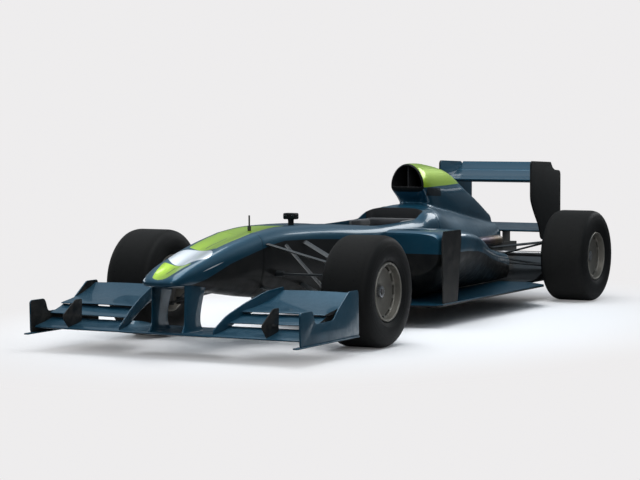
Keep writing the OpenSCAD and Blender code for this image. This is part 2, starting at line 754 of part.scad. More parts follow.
// ---- wheels ----
// Every wheel turns about its own axle; profiles are drawn as radius over width, outer side up.
module tyre(w) {
    r = tyre_r;
    h = w / 2;
    color(rubber)
        rotate_extrude($fn = 96)
            polygon([[rim_r - 6, -h + 24], [rim_r + 16, -h + 10], [rim_r + 44, -h], [r - 62, -h],
                     [r - 26, -h + 12], [r - 8, -h + 30], [r, -h + 52], [r, h - 52], [r - 8, h - 30],
                     [r - 26, h - 12], [r - 62, h], [rim_r + 44, h], [rim_r + 16, h - 10],
                     [rim_r - 6, h - 24]]);
}
// Point k of the five along an edge of a slot, at radius r.
function arc_point(r, k) = r * [cos(k * slot_half / 2), sin(k * slot_half / 2)];
// Rim: a barrel inside the tyre, a dished disc set well back from the outer lip, and the hub.
// bore is the radius of the hole in the hub.
module rim(w, bore) {
    h = w / 2;
    ro = rim_r - 6;
    color(alloy)
        difference() {
            rotate_extrude($fn = 96)
                polygon([[ro, -h + 24], [ro, h - 24], [ro - 6, h - 16], [ro - rim_wall, h - 20],
                         [ro - rim_wall, h - 60], [ro - 32, h - 69], [62, h - 79], [hub_r + 8, h - hub_face],
                         [bore, h - hub_face], [bore, h - hub_back], [hub_r + 8, h - hub_back], [66, h - 96],
                         [ro - 32, h - 83], [ro - rim_wall + 5, h - 88], [ro - rim_wall + 5, -h + 24]]);
            // the slots cut right through the disc and stop short of the barrel
            for (i = [0:slot_count - 1])
                rotate([0, 0, i * 360 / slot_count])
                    translate([0, 0, h - hub_back])
                        linear_extrude(hub_back - rim_wall)
                            polygon(concat([for (k = [-2:2]) arc_point(ro - slot_in, k)],
                                           [for (k = [-2:2]) arc_point(ro - slot_out, -k)]));
        }
}
module front_wheel_at(side) {
    translate([side * front_x, front_axle_y, tyre_r]) rotate([0, side * 90, 0]) children();
}
module rear_wheel_at(side) {
    translate([side * rear_x, rear_axle_y, tyre_r]) rotate([0, side * 90, 0]) children();
}
module front_left_tyre() { front_wheel_at(1) tyre(front_tyre_w); }
module front_right_tyre() { front_wheel_at(-1) tyre(front_tyre_w); }
module rear_left_tyre() { rear_wheel_at(1) tyre(rear_tyre_w); }
module rear_right_tyre() { rear_wheel_at(-1) tyre(rear_tyre_w); }
module front_left_rim() { front_wheel_at(1) rim(front_tyre_w, spindle_r + run_gap); }
module front_right_rim() { front_wheel_at(-1) rim(front_tyre_w, spindle_r + run_gap); }
module rear_left_rim() { rear_wheel_at(1) rim(rear_tyre_w, shaft_r); }
module rear_right_rim() { rear_wheel_at(-1) rim(rear_tyre_w, shaft_r); }

// ---- rear suspension ----
rear_pin_x = rear_x - 112; // outer pick-ups of the rear wishbones
bearing_r = 40;
// lower pick-ups, above the diffuser and below the bearings of the axle
rear_low_z = min(floor_z + 100, tyre_r - bearing_r - 10);
rod_gap = 1.5; // more than an arm's thickness is left clear where a pullrod passes it
module rear_uprights() {
    color(alloy)
        difference() {
            both_sides()
                translate([rear_pin_x - 20, rear_axle_y, tyre_r]) {
                    rotate([0, 90, 0]) cylinder(h = 90, r = 62, $fn = 64);
                    translate([0, -26, rear_low_z - 37 - tyre_r])
                        cube([40, 52, tyre_r + ball_dz + 12 - rear_low_z + 37]);
                    translate([50, 0, 0])
                        rotate([0, 90, 0])
                            difference() {
                                cylinder(h = 90, r = drum_r, $fn = 64);
                                translate([0, 0, 8]) cylinder(h = 100, r = drum_r - 6, $fn = 64);
                            }
                }
            both_sides()
                translate([0, rear_axle_y, tyre_r])
                    rotate([0, 90, 0]) cylinder(h = 900, r = bearing_r + run_gap, $fn = 64);
        }
}
module rear_arms(thick) {
    both_sides()
        for (s = [-240, 68]) {
            arm([rear_pin_x, rear_axle_y, tyre_r + ball_dz - 8], [box_half - 20, rear_axle_y + s, 372],
                arm_chord, thick);
            arm([rear_pin_x, rear_axle_y, rear_low_z], [box_half - 20, rear_axle_y + s, 290],
                arm_chord, thick);
        }
}
// Clear of the gearbox and of the uprights.
module rear_cuts() {
    both_sides() translate([rear_pin_x - 20, rear_axle_y - 60, 0]) cube([200, 120, 900]);
    translate([-box_half, at(2900), 0]) cube([2 * box_half, at(3700) - at(2900), 900]);
}
module rear_wishbones() {
    color(carbon)
        difference() {
            rear_arms(arm_thick);
            rear_cuts();
        }
}
module rear_pullrods() {
    color(carbon)
        difference() {
            both_sides()
                arm([rear_pin_x - 62, rear_axle_y - 34, tyre_r + ball_dz - 12],
                    [box_half - 10, rear_axle_y - 118, 306], 28, 14);
            rear_arms(arm_thick + rod_gap);
            rear_cuts();
        }
}
// Drive shafts: a stub turning in the upright and a thin shaft reaching into the gearbox.
module drive_shaft() {
    x0 = box_half - 40;
    stub_end = rear_x + rear_tyre_w / 2 - hub_back;
    shaft_end = rear_x + rear_tyre_w / 2 - hub_face;
    color(steel)
        translate([0, rear_axle_y, tyre_r]) rotate([0, 90, 0]) {
            translate([0, 0, x0]) cylinder(h = shaft_end - x0, r = shaft_r, $fn = 48);
            translate([0, 0, shaft_end - 1]) cylinder(h = nut_l + 1, r = nut_r, $fn = 48);
            translate([0, 0, rear_pin_x - 26])
                cylinder(h = stub_end - rear_pin_x + 26, r = bearing_r, $fn = 64);
        }
}
module rear_left_drive_shaft() { drive_shaft(); }
module rear_right_drive_shaft() { mirror([1, 0, 0]) drive_shaft(); }

nose_cone();
survival_cell();
headrest();
seat();
engine_cover();
sidepod_left();
sidepod_right();
radiators();
floor();
bargeboards();
sidepod_vanes();
front_wing_main_plane();
front_wing_flaps();
front_wing_end_plates();
front_wing_vanes();
front_wing_pylons();
rear_wing_planes();
rear_wing_end_plates();
beam_wing();
engine_block();
gearbox();
rain_light();
exhausts();
nose_camera();
aerials();
front_wishbones();
front_pushrods();
rear_wishbones();
rear_pullrods();
rear_uprights();
front_upright_left();
front_upright_right();
steering_rack();
steering_wheel();
front_left_tyre();
front_left_rim();
front_right_tyre();
front_right_rim();
rear_left_tyre();
rear_left_rim();
rear_right_tyre();
rear_right_rim();
rear_left_drive_shaft();
rear_right_drive_shaft();
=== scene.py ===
import bmesh
import bpy
import math
from mathutils import Matrix, Vector


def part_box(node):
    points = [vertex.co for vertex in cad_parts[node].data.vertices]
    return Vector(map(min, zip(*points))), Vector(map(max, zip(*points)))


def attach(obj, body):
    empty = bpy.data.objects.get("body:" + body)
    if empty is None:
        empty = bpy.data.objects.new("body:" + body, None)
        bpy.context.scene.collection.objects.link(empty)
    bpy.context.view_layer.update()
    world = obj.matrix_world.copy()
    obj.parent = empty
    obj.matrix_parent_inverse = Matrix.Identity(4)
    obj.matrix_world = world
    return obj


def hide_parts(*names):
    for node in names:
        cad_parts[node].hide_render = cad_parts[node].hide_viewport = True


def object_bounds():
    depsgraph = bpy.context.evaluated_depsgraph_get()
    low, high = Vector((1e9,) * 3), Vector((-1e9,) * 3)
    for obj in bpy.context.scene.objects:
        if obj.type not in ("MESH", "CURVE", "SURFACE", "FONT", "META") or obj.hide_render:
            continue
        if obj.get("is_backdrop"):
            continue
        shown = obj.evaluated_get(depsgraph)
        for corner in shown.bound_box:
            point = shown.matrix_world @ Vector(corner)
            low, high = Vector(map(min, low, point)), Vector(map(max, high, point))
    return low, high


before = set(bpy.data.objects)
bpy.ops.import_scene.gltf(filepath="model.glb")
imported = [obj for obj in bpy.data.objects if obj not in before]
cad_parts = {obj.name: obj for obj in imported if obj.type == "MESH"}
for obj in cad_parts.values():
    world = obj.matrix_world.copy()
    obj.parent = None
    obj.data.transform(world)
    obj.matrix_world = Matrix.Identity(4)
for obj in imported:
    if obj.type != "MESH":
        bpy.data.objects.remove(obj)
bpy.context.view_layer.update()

# ---------------------------------------------------------------- nose
# The nose is a hollow carbon shell that slopes down to a blunt, wide tip. Its top is hollowed between
# two raised shoulders. It is painted with a deep metallic teal, and a lime flash runs along the hollow,
# broken by a bare white roundel; a fine slot along the flash is not cut, and its shade is painted as a
# dark lime line. Below the paint line the weave is left black, and that black also paints the shade
# under the nose.
front_low, front_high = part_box("front_left_tyre")
FRONT_Y = (front_low.y + front_high.y) / 2
AXLE_Z = (front_low.z + front_high.z) / 2
TEAL = (0.010, 0.062, 0.104, 1)
TEAL_DEEP = (0.006, 0.040, 0.070, 1)
LIME = (0.36, 0.56, 0.010, 1)
WHITE = (0.74, 0.77, 0.80, 1)
NOSE_SECTIONS = [
    # station, half width, top, widest height, bottom, upper power, lower power, hollow of the top
    (-1.1400, 0.034, 0.4330, 0.4290, 0.4240, 2.0, 2.0, 0.000),
    (-1.1350, 0.074, 0.4440, 0.4300, 0.4140, 2.4, 2.4, 0.003),
    (-1.1200, 0.098, 0.4580, 0.4320, 0.4080, 2.6, 2.6, 0.008),
    (-1.0700, 0.117, 0.4860, 0.4360, 0.4020, 2.9, 2.8, 0.022),
    (-0.9800, 0.134, 0.5230, 0.4460, 0.3960, 3.1, 2.8, 0.034),
    (-0.8000, 0.152, 0.5740, 0.4680, 0.3720, 3.2, 2.8, 0.034),
    (-0.5600, 0.168, 0.6320, 0.5020, 0.3350, 3.2, 2.8, 0.029),
    (-0.2500, 0.182, 0.6860, 0.5460, 0.2900, 3.2, 2.8, 0.028),
]


class Flow:
    """A socket inside a finish. Sums, products and comparisons of these add the Math nodes."""

    def __init__(self, finish, socket):
        self.finish, self.socket = finish, socket

    def math(self, operation, *values):
        return self.finish.node("ShaderNodeMath", {"operation": operation}, values)

    def __add__(self, other):
        return self.math("ADD", self, other)

    def __sub__(self, other):
        return self.math("SUBTRACT", self, other)

    def __rsub__(self, other):
        return self.math("SUBTRACT", other, self)

    def __mul__(self, other):
        return self.math("MULTIPLY", self, other)

    def __truediv__(self, other):
        return self.math("DIVIDE", self, other)

    def __pow__(self, other):
        return self.math("POWER", self, other)

    def __mod__(self, other):
        return self.math("FLOORED_MODULO", self, other)

    def __abs__(self):
        return self.math("ABSOLUTE", self)

    def __or__(self, other):
        return self.math("MAXIMUM", self, other)

    __radd__, __rmul__ = __add__, __mul__

    def over(self, level, edge=0.0012):
        """1 where this is above level and 0 below, with an edge that wide."""
        gap = (self - level) / edge
        return self.finish.node("ShaderNodeMath", {"operation": "ADD", "use_clamp": True}, [gap, 0.5])

    def under(self, level, edge=0.0012):
        return 1 - self.over(level, edge)

    def between(self, low, high, edge=0.0012):
        return self.over(low, edge) * self.under(high, edge)


class Finish:
    """One material: fixed numbers sit on its shader, and flows feed what varies over the surface."""

    def __init__(self, name, fixed):
        self.material = bpy.data.materials.new(name)
        self.material.use_nodes = True
        self.tree = self.material.node_tree
        self.shader = self.tree.nodes["Principled BSDF"]
        for socket, value in fixed.items():
            self.shader.inputs[socket].default_value = value
        self.place = self.node("ShaderNodeTexCoord", {}, {}, "Object")
        self.x, self.y, self.z = (self.node("ShaderNodeSeparateXYZ", {}, [self.place], i) for i in range(3))

    def node(self, kind, settings, sockets, out=0):
        made = self.tree.nodes.new(kind)
        for key, value in settings.items():
            if key == "stops":
                ramp = made.color_ramp.elements
                ramp.remove(ramp[1])
                ramp[0].position, ramp[0].color = value[0]
                for position, colour in value[1:]:
                    ramp.new(position).color = colour
            else:
                setattr(made, key, value)
        for key, value in sockets.items() if isinstance(sockets, dict) else enumerate(sockets):
            if isinstance(value, Flow):
                self.tree.links.new(value.socket, made.inputs[key])
            else:
                made.inputs[key].default_value = value
        return Flow(self, made.outputs[out])

    def noise(self, scale, detail=3.0, rough=0.5):
        sockets = {"Vector": self.place, "Scale": scale, "Detail": detail, "Roughness": rough}
        return self.node("ShaderNodeTexNoise", {}, sockets)

    def blend(self, mask, first, second):
        return self.node("ShaderNodeMix", {"data_type": "RGBA"}, {0: mask, 6: first, 7: second}, 2)

    def along(self, flow, table):
        """A number that follows a table of (flow, number) in straight lines."""
        low, high = table[0][0], table[-1][0]
        stops = [((place - low) / (high - low), (value, value, value, 1)) for place, value in table]
        return self.node("ShaderNodeValToRGB", {"stops": stops}, [(flow - low) / (high - low)])

    def bump(self, height, strength, distance, under=None):
        sockets = {"Height": height, "Strength": strength, "Distance": distance}
        if under is not None:
            sockets["Normal"] = under
        return self.node("ShaderNodeBump", {}, sockets)

    def feed(self, **flows):
        for name, flow in flows.items():
            self.tree.links.new(flow.socket, self.shader.inputs[name.replace("_", " ").title()])
        return self.material


def weave(finish, size=0.0045):
    """Twill of carbon tows in the three planes, from 0 to 1."""
    def twill(a, b):
        step = (a / size + b / size) % 4
        over = step.between(0.15, 1.85, 0.3)
        ridge = abs(((a / size) % 1) - 0.5) * over + abs(((b / size) % 1) - 0.5) * (1 - over)
        return over * 0.6 + ridge * 0.5
    return twill(finish.x + finish.z * 0.6, finish.y + finish.z * 0.35)


def woven(finish, shades, rough, relief, size=0.0045):
    """Bare carbon between two shades of the weave. relief is the strength and depth of its tows."""
    tows = weave(finish, size)
    return finish.feed(base_color=finish.blend(tows, *shades), roughness=rough + tows * 0.1,
                       normal=finish.bump(tows, *relief))


def paint_over(finish, colours, dark, gap=0.0):
    """Clear coated metallic paint in the flow colours.

    It is bare black weave where dark is 1, with thin joints where gap is.
    """
    drift = finish.noise(2.2, 4.0)
    flake = finish.noise(900.0, 1.0)
    road_dust = (0.42 - finish.z).over(0, 0.4) * finish.noise(14.0, 6.0, 0.65).over(0.52, 0.25) * 0.10
    body = finish.blend(drift * 0.8, colours, finish.blend(0.35, colours, TEAL_DEEP))
    tows = weave(finish)
    bare = finish.blend(tows, (0.003, 0.0034, 0.0036, 1), (0.0085, 0.0092, 0.0098, 1))
    body = finish.blend(dark, body, bare)
    body = finish.blend(road_dust, body, (0.16, 0.15, 0.13, 1))
    body = finish.blend(gap, body, (0.002, 0.002, 0.002, 1))
    height = flake * 0.10 + tows * dark * 0.5 - gap * 2.5
    return finish.feed(
        base_color=body,
        metallic=(1 - dark) * 0.50 * (1 - gap),
        roughness=0.30 + flake * 0.06 + dark * 0.12 + road_dust * 3 + finish.noise(26.0, 5.0) * 0.05,
        coat_weight=(1 - gap) * (1 - road_dust * 3) * (0.60 - dark * 0.53),
        normal=finish.bump(height, 0.25, 0.0006),
    )


PAINT_FIXED = {"Coat Roughness": 0.05, "Coat IOR": 1.5, "IOR": 1.45, "Specular IOR Level": 0.14}
livery = Finish("nose_paint", PAINT_FIXED)
station = livery.y - FRONT_Y
# Below this line the nose and cell are bare black weave, and that black also paints the shade that falls
# under them.
PAINT_AND_SHADE_LINE = [(-1.15, 0.400), (-1.00, 0.408), (-0.85, 0.436), (-0.60, 0.510), (-0.45, 0.540), (-0.30, 0.568),
              (-0.15, 0.595), (0.0, 0.612), (0.30, 0.606), (0.70, 0.585), (1.10, 0.562), (2.05, 0.548)]
painted = (livery.z - livery.along(station, PAINT_AND_SHADE_LINE)).over(0, 0.002)
top_side = (livery.z - livery.along(station, [(p, z + 0.045) for p, z in PAINT_AND_SHADE_LINE])).over(0, 0.001)
FLASH = [(-1.12, 0.0), (-1.113, 0.030), (-1.10, 0.047), (-1.04, 0.064), (-0.93, 0.088), (-0.905, 0.090),
         (-0.902, 0.0), (-0.64, 0.0), (-0.638, 0.090), (-0.42, 0.103), (-0.20, 0.108), (0.0, 0.100),
         (0.15, 0.078), (0.28, 0.034), (0.33, 0.0)]
flash = (livery.along(station, FLASH) - abs(livery.x)).over(0, 0.0015) * top_side
ROUNDEL_S = -0.77
# The fine slot is not cut into the nose: the shade in it is painted as a dark lime line down the flash.
slot = abs(livery.x).under(0.0042) * (station.between(-1.03, -0.935, 0.004)
                                      | station.between(-0.60, -0.36, 0.004))
roundel = (((station - ROUNDEL_S) ** 2 + livery.x * livery.x) ** 0.5).under(0.126) * top_side
rising = (station - ROUNDEL_S + 0.10) * 0.21 + 0.484
streak = (0.0032 - 0.30 * (station - ROUNDEL_S) ** 2 - abs(livery.z - rising)).over(0, 0.001)
colours = livery.blend(flash, TEAL, LIME)
colours = livery.blend(slot, colours, (0.16, 0.21, 0.02, 1))
colours = livery.blend(roundel | streak * painted, colours, WHITE)
joint_line = abs(station + 0.25).under(0.0016, 0.0006)
nose_paint = paint_over(livery, colours, 1 - painted, joint_line)


def section(row, centre, grow, count):
    """One closed outline of the bodywork at a station, as (across, height) pairs."""
    half, top, mid, low, up, down = (*row[:6],)
    dip = row[6] if len(row) > 6 else 0.0
    half, top, low = half + grow, top + grow, low - grow
    points = []
    for i in range(count):
        turn = math.tau * i / count
        c, s = math.cos(turn), math.sin(turn)
        power = up if s >= 0 else down
        x = half * math.copysign(abs(c) ** (2 / power), c)
        z = mid + (top - mid if s >= 0 else mid - low) * math.copysign(abs(s) ** (2 / power), s)
        if s > 0 and abs(x) < 0.9 * half:
            z -= dip * (1 + math.cos(math.radians(200) * x / half)) / 2
        points.append((centre + x, z))
    return points


def faired(rows, step):
    """The rows with smooth ones between them, no further apart than step."""
    slopes = []
    for i, row in enumerate(rows):
        before, after = rows[max(i - 1, 0)], rows[min(i + 1, len(rows) - 1)]
        slopes.append([(b - a) / (after[0] - before[0]) for a, b in zip(before, after)])
    made = []
    for (row, ahead), (slope, next_slope) in zip(zip(rows, rows[1:]), zip(slopes, slopes[1:])):
        gap = ahead[0] - row[0]
        parts = max(1, math.ceil(gap / step))
        for k in range(parts):
            t = k / parts
            made.append([
                (2 * t**3 - 3 * t**2 + 1) * a + (t**3 - 2 * t**2 + t) * gap * ma
                + (3 * t**2 - 2 * t**3) * b + (t**3 - t**2) * gap * mb
                for a, b, ma, mb in zip(row, ahead, slope, next_slope)])
    return made + [list(rows[-1])]


def piece(name, points, faces, material=None, sharp=35):
    """A mesh piece in the car's frame, shaded smooth up to the sharp angle."""
    mesh = bpy.data.meshes.new(name)
    mesh.from_pydata([Vector(p) for p in points], [], faces)
    mesh.validate()
    made = bpy.data.objects.new(name, mesh)
    bpy.context.scene.collection.objects.link(made)
    return dressed(made, material, sharp)


def dressed(made, material, sharp=35):
    if material is not None:
        made.data.materials.clear()
        made.data.materials.append(material)
    made.data.shade_smooth()
    made.data.set_sharp_from_angle(angle=math.radians(sharp))
    return made


def loft_faces(count, rings, base=0, first=-1):
    """The faces of a closed body through rings of count points each, numbered from base.

    first is the way round of the first end: -1 against the sides, 1 with them.
    """
    made = [(j * count + i, j * count + (i + 1) % count, (j + 1) * count + (i + 1) % count,
             (j + 1) * count + i)
            for j in range(rings - 1) for i in range(count)]
    made += [tuple(range(count))[::first], tuple((rings - 1) * count + i for i in range(count))]
    return [tuple(base + i for i in face) for face in made]


def skin(name, sections, centre=0.0, grow=0.0, count=112, step=0.035):
    """A closed smooth body through the sections."""
    rows = faired(sections, step)
    points = [(x, FRONT_Y + row[0], z) for row in rows for x, z in section(row[1:], centre, grow, count)]
    return piece(name, points, loft_faces(count, len(rows)))


def settled(made):
    """The piece with its modifiers worked into its mesh."""
    graph = bpy.context.evaluated_depsgraph_get()
    mesh = bpy.data.meshes.new_from_object(made.evaluated_get(graph))
    made.modifiers.clear()
    made.data = mesh
    return made


def carved(made, *tools, operation="DIFFERENCE"):
    """The piece with the tools cut out of it, or joined to it. A cut takes its tool's finish, if it has one.
    The tools are used up."""
    for tool in tools:
        cut = made.modifiers.new("cut", "BOOLEAN")
        cut.operation, cut.solver, cut.object = operation, "EXACT", tool
        cut.material_mode = "TRANSFER" if tool.data.materials else "INDEX"
    settled(made)
    for tool in tools:
        bpy.data.objects.remove(tool)
    return made


def eased(made, width=0.003, segments=2, angle=45):
    """The piece with its hard edges rounded."""
    edge = made.modifiers.new("edge", "BEVEL")
    edge.width, edge.segments, edge.limit_method = width, segments, "ANGLE"
    edge.angle_limit, edge.use_clamp_overlap, edge.harden_normals = math.radians(angle), True, False
    return settled(made)


def shown(made, body, slot, *nodes):
    """Puts the piece on its body and hides the plain solids it stands for. slot, the name of its finish, is
    not used.
    """
    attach(made, body)
    if nodes:
        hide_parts(*nodes)
    return made


nose = dressed(skin("nose_shell", NOSE_SECTIONS), nose_paint)
shown(nose, "chassis", "painted_body", "nose_cone")

# ---------------------------------------------------------------- survival cell
# The survival cell is the carbon tub that carries the nose, the driver and the engine. Its top keeps the
# hollow of the nose up to the cockpit, whose opening is pointed in front and square behind. Outside it
# has the nose's paint, and inside it is bare satin weave.
CELL_SECTIONS = [
    (-0.250, 0.182, 0.686, 0.546, 0.290, 3.2, 2.8, 0.028),
    (0.000, 0.193, 0.704, 0.568, 0.262, 3.2, 2.8, 0.026),
    (0.300, 0.208, 0.703, 0.575, 0.232, 3.2, 3.0, 0.022),
    (0.620, 0.232, 0.690, 0.570, 0.205, 3.4, 3.4, 0.012),
    (0.900, 0.252, 0.668, 0.545, 0.180, 4.0, 4.0, 0.003),
    (1.200, 0.265, 0.655, 0.500, 0.158, 5.0, 5.0, 0.0),
    (1.600, 0.265, 0.664, 0.480, 0.158, 5.0, 5.0, 0.0),
    (1.780, 0.271, 0.676, 0.480, 0.158, 4.6, 5.0, 0.0),
    (1.890, 0.275, 0.722, 0.480, 0.158, 4.2, 5.0, 0.0),
    (2.030, 0.277, 0.730, 0.480, 0.158, 4.0, 5.0, 0.0),
]
CAVITY_SECTIONS = [
    (-0.150, 0.130, 0.640, 0.500, 0.330, 3.0, 3.0),
    (0.500, 0.175, 0.640, 0.500, 0.270, 3.2, 3.2),
    (0.900, 0.230, 0.640, 0.480, 0.240, 4.0, 3.4),
    (1.200, 0.243, 0.630, 0.470, 0.230, 4.0, 3.4),
    (1.980, 0.243, 0.640, 0.440, 0.230, 4.0, 3.4),
]


def block(low, high):
    """A box used as a cutting tool."""
    corners = [(x, y, z) for x in (low[0], high[0]) for y in (low[1], high[1]) for z in (low[2], high[2])]
    return piece("tool", corners,
                 [(0, 1, 3, 2), (4, 6, 7, 5), (0, 4, 5, 1), (2, 3, 7, 6), (0, 2, 6, 4), (1, 5, 7, 3)])


def prism(outline, low, high, name="tool"):
    """A straight solid on a closed outline of (x, y), from one height to another."""
    points = [(x, y, z) for z in (low, high) for x, y in outline]
    return piece(name, points, loft_faces(len(outline), 2))


def rounded(outline, radius, parts=5):
    """A closed outline with its corners turned to arcs."""
    made = []
    for i, here in enumerate(outline):
        here = Vector(here)
        back = (Vector(outline[i - 1]) - here)
        on = (Vector(outline[(i + 1) % len(outline)]) - here)
        reach = min(radius, back.length * 0.45, on.length * 0.45)
        start, end = here + back.normalized() * reach, here + on.normalized() * reach
        for k in range(parts + 1):
            t = k / parts
            made.append(tuple(start * (1 - t) ** 2 + here * 2 * t * (1 - t) + end * t * t))
    return made


OPENING = [(0.063, 0.780), (0.130, 0.840), (0.200, 1.110), (0.210, 1.200), (0.210, 1.930)]
OPENING = [(x, FRONT_Y + s) for x, s in OPENING]
OPENING = OPENING + [(-x, y) for x, y in reversed(OPENING)]
dash_y = FRONT_Y + 1.040
cavity = skin("cavity", CAVITY_SECTIONS, count=64, step=0.08)
carved(cavity, block((-0.4, dash_y, 0.50), (0.4, dash_y + 0.03, 0.90)))
cell = skin("cell_shell", CELL_SECTIONS)
carved(cell, cavity, prism(rounded(OPENING, 0.05), 0.52, 0.92))
eased(cell, 0.007, 3, 50)
inside = Finish("cell_inside", {"Coat Weight": 0.10, "Coat Roughness": 0.3, "Specular IOR Level": 0.25})
inside_weave = woven(inside, ((0.007, 0.007, 0.008, 1), (0.028, 0.029, 0.031, 1)),
                     inside.noise(18.0) * 0.1 + 0.55, (0.35, 0.0005))
dressed(cell, nose_paint, 40)
cell.data.materials.append(inside_weave)
rows_by_station = faired(CELL_SECTIONS, 0.035)
for face in cell.data.polygons:
    spot = face.center
    row = min(rows_by_station, key=lambda r: abs(r[0] - (spot.y - FRONT_Y)))
    half, top, mid, low = row[1:5]
    power = row[5] if spot.z > mid else row[6]
    dip = row[7] * (1 + math.cos(math.radians(200) * spot.x / half)) / 2 if abs(spot.x) < 0.9 * half else 0
    reach = (top - dip - mid) if spot.z > mid else mid - low
    if (abs(spot.x / half) ** power + abs((spot.z - mid) / reach) ** power < 0.80
            and 0.0 < spot.y - FRONT_Y < 2.0):
        face.material_index = 1
shown(cell, "chassis", "painted_body", "survival_cell")

# ---------------------------------------------------------------- engine cover
# The engine cover is one thin carbon moulding: a wide, low back over the engine that runs into a tall
# spine. The air intake stands at the front of the spine above the driver's head, with a splitter in its
# mouth. The top of the spine is lime. A black louvre panel sits behind the intake on each side; its slots
# are not cut, and the shade in them is painted as darker stripes.
COVER_SECTIONS = [
    (2.0310, 0.276, 0.730, 0.480, 0.300, 4.0, 6),
    (2.1300, 0.273, 0.745, 0.470, 0.300, 3.0, 6),
    (2.3000, 0.259, 0.735, 0.460, 0.300, 2.2, 6),
    (2.6000, 0.235, 0.700, 0.440, 0.300, 1.8, 6),
    (2.9000, 0.196, 0.655, 0.430, 0.300, 1.6, 6),
    (3.2000, 0.148, 0.605, 0.425, 0.300, 1.6, 6),
    (3.4500, 0.096, 0.566, 0.425, 0.300, 1.6, 6),
    (3.6200, 0.058, 0.545, 0.425, 0.300, 1.8, 6),
]
SPINE_SECTIONS = [
    (2.0850, 0.124, 1.025, 0.868, 0.846, 1.9, 5.0),
    (2.1500, 0.128, 1.026, 0.868, 0.770, 1.9, 3.0),
    (2.3000, 0.116, 1.020, 0.820, 0.600, 1.8, 3.0),
    (2.6420, 0.084, 0.975, 0.740, 0.560, 1.6, 3.0),
    (2.8150, 0.068, 0.927, 0.700, 0.540, 1.5, 3.0),
    (3.0280, 0.050, 0.834, 0.640, 0.520, 1.5, 3.0),
    (3.2820, 0.034, 0.729, 0.570, 0.480, 1.5, 3.0),
    (3.5400, 0.022, 0.607, 0.500, 0.440, 1.5, 3.0),
]
TUNNEL_SECTIONS = [
    (2.0500, 0.113, 1.015, 0.870, 0.858, 1.9, 5.0),
    (2.1500, 0.114, 1.011, 0.868, 0.852, 1.9, 5.0),
    (2.3000, 0.098, 0.994, 0.820, 0.640, 1.8, 3.0),
    (2.6000, 0.058, 0.940, 0.740, 0.560, 1.7, 3.0),
]
BAY_SECTIONS = [
    (1.9900, 0.255, 0.710, 0.480, 0.290, 4.0, 6),
    (2.1300, 0.263, 0.730, 0.470, 0.290, 3.0, 6),
    (2.3000, 0.249, 0.718, 0.460, 0.290, 2.2, 6),
    (2.6000, 0.223, 0.683, 0.440, 0.290, 1.8, 6),
    (2.9000, 0.184, 0.638, 0.430, 0.290, 1.6, 6),
    (3.2000, 0.136, 0.588, 0.425, 0.290, 1.6, 6),
    (3.4500, 0.084, 0.549, 0.425, 0.290, 1.6, 6),
    (3.5900, 0.052, 0.530, 0.425, 0.290, 1.8, 6),
]
cover = carved(skin("cover_shell", COVER_SECTIONS), skin("tool", SPINE_SECTIONS, count=96), operation="UNION")
melt = cover.modifiers.new("melt", "REMESH")
melt.mode, melt.voxel_size = "VOXEL", 0.009
ease = cover.modifiers.new("ease", "SMOOTH")
ease.factor, ease.iterations = 0.5, 10
settled(cover)
mouth = skin("tool", TUNNEL_SECTIONS, count=96)
carved(mouth, block((-0.004, FRONT_Y + 2.11, 0.84), (0.004, FRONT_Y + 2.23, 1.04)))
dressed(mouth, inside_weave)
bay = dressed(skin("tool", BAY_SECTIONS, count=64, step=0.08), inside_weave)
spine = Finish("cover_paint", PAINT_FIXED)
station = spine.y - FRONT_Y
MOUTH_END = 2.100
crest = spine.z.over(0.862, 0.0015) * station.between(MOUTH_END, 2.93, 0.002)
lip = station.under(MOUTH_END, 0.002) * spine.z.over(0.83)
louvre = (station.between(2.15, 2.43, 0.002)
          * (spine.z - 0.05 * (2.43 - station)).between(0.790, 0.846, 0.0015))
# The louvre slots are not cut: the shade in them is painted as darker stripes on the black panel.
louvre_slot_shade = (abs(((station - 2.15) % 0.028) - 0.014)).under(0.009, 0.002)
colours = spine.blend(crest, TEAL, LIME)
seam = abs(spine.z - 0.700).under(0.0012, 0.0005) * station.between(2.2, 2.7, 0.002) * abs(spine.x).over(0.13)
cover_paint = paint_over(spine, colours, lip | louvre * (0.8 + louvre_slot_shade * 0.2), seam)
dressed(cover, cover_paint)
carved(cover, mouth, bay, block((-0.5, FRONT_Y + 1.90, 0.0), (0.5, FRONT_Y + 3.70, 0.42)))
dressed(cover, None, 38)
shown(cover, "chassis", "painted_body", "engine_cover")

# ---------------------------------------------------------------- sidepods
# Each sidepod is a carbon moulding round a radiator duct. It is full and square at the inlet, undercut
# below, and falls and narrows towards the rear. The undercut is bare black weave, and that black also
# paints the shade under the sidepod; the inside of the duct is black too.
POD_SECTIONS = [
    (1.190, 0.404, 0.602, 0.500, 0.318, 5.0, 3.0),
    (1.230, 0.424, 0.616, 0.505, 0.280, 5.0, 2.6),
    (1.400, 0.430, 0.620, 0.515, 0.158, 5.0, 1.9),
    (1.600, 0.430, 0.612, 0.515, 0.158, 4.5, 1.8),
    (1.850, 0.400, 0.585, 0.490, 0.158, 4.0, 1.7),
    (2.100, 0.340, 0.535, 0.450, 0.158, 3.6, 1.7),
    (2.400, 0.245, 0.470, 0.400, 0.158, 3.2, 1.8),
    (2.700, 0.155, 0.418, 0.350, 0.158, 3.0, 2.0),
    (3.000, 0.086, 0.376, 0.310, 0.158, 2.6, 2.2),
    (3.200, 0.052, 0.345, 0.280, 0.158, 2.4, 2.4),
]
INLET_SECTIONS = [
    (1.150, 0.1463, 0.580, 0.500, 0.335, 5.0, 2.4),
    (1.400, 0.1423, 0.575, 0.480, 0.325, 5.0, 2.8),
    (1.640, 0.1323, 0.560, 0.440, 0.300, 5.0, 4.0),
]
POD_MIDDLE, POD_INNER, INLET_MIDDLE = 0.25, 0.2774, 0.4567
flank = Finish("sidepod_paint", PAINT_FIXED)
station = flank.y - FRONT_Y
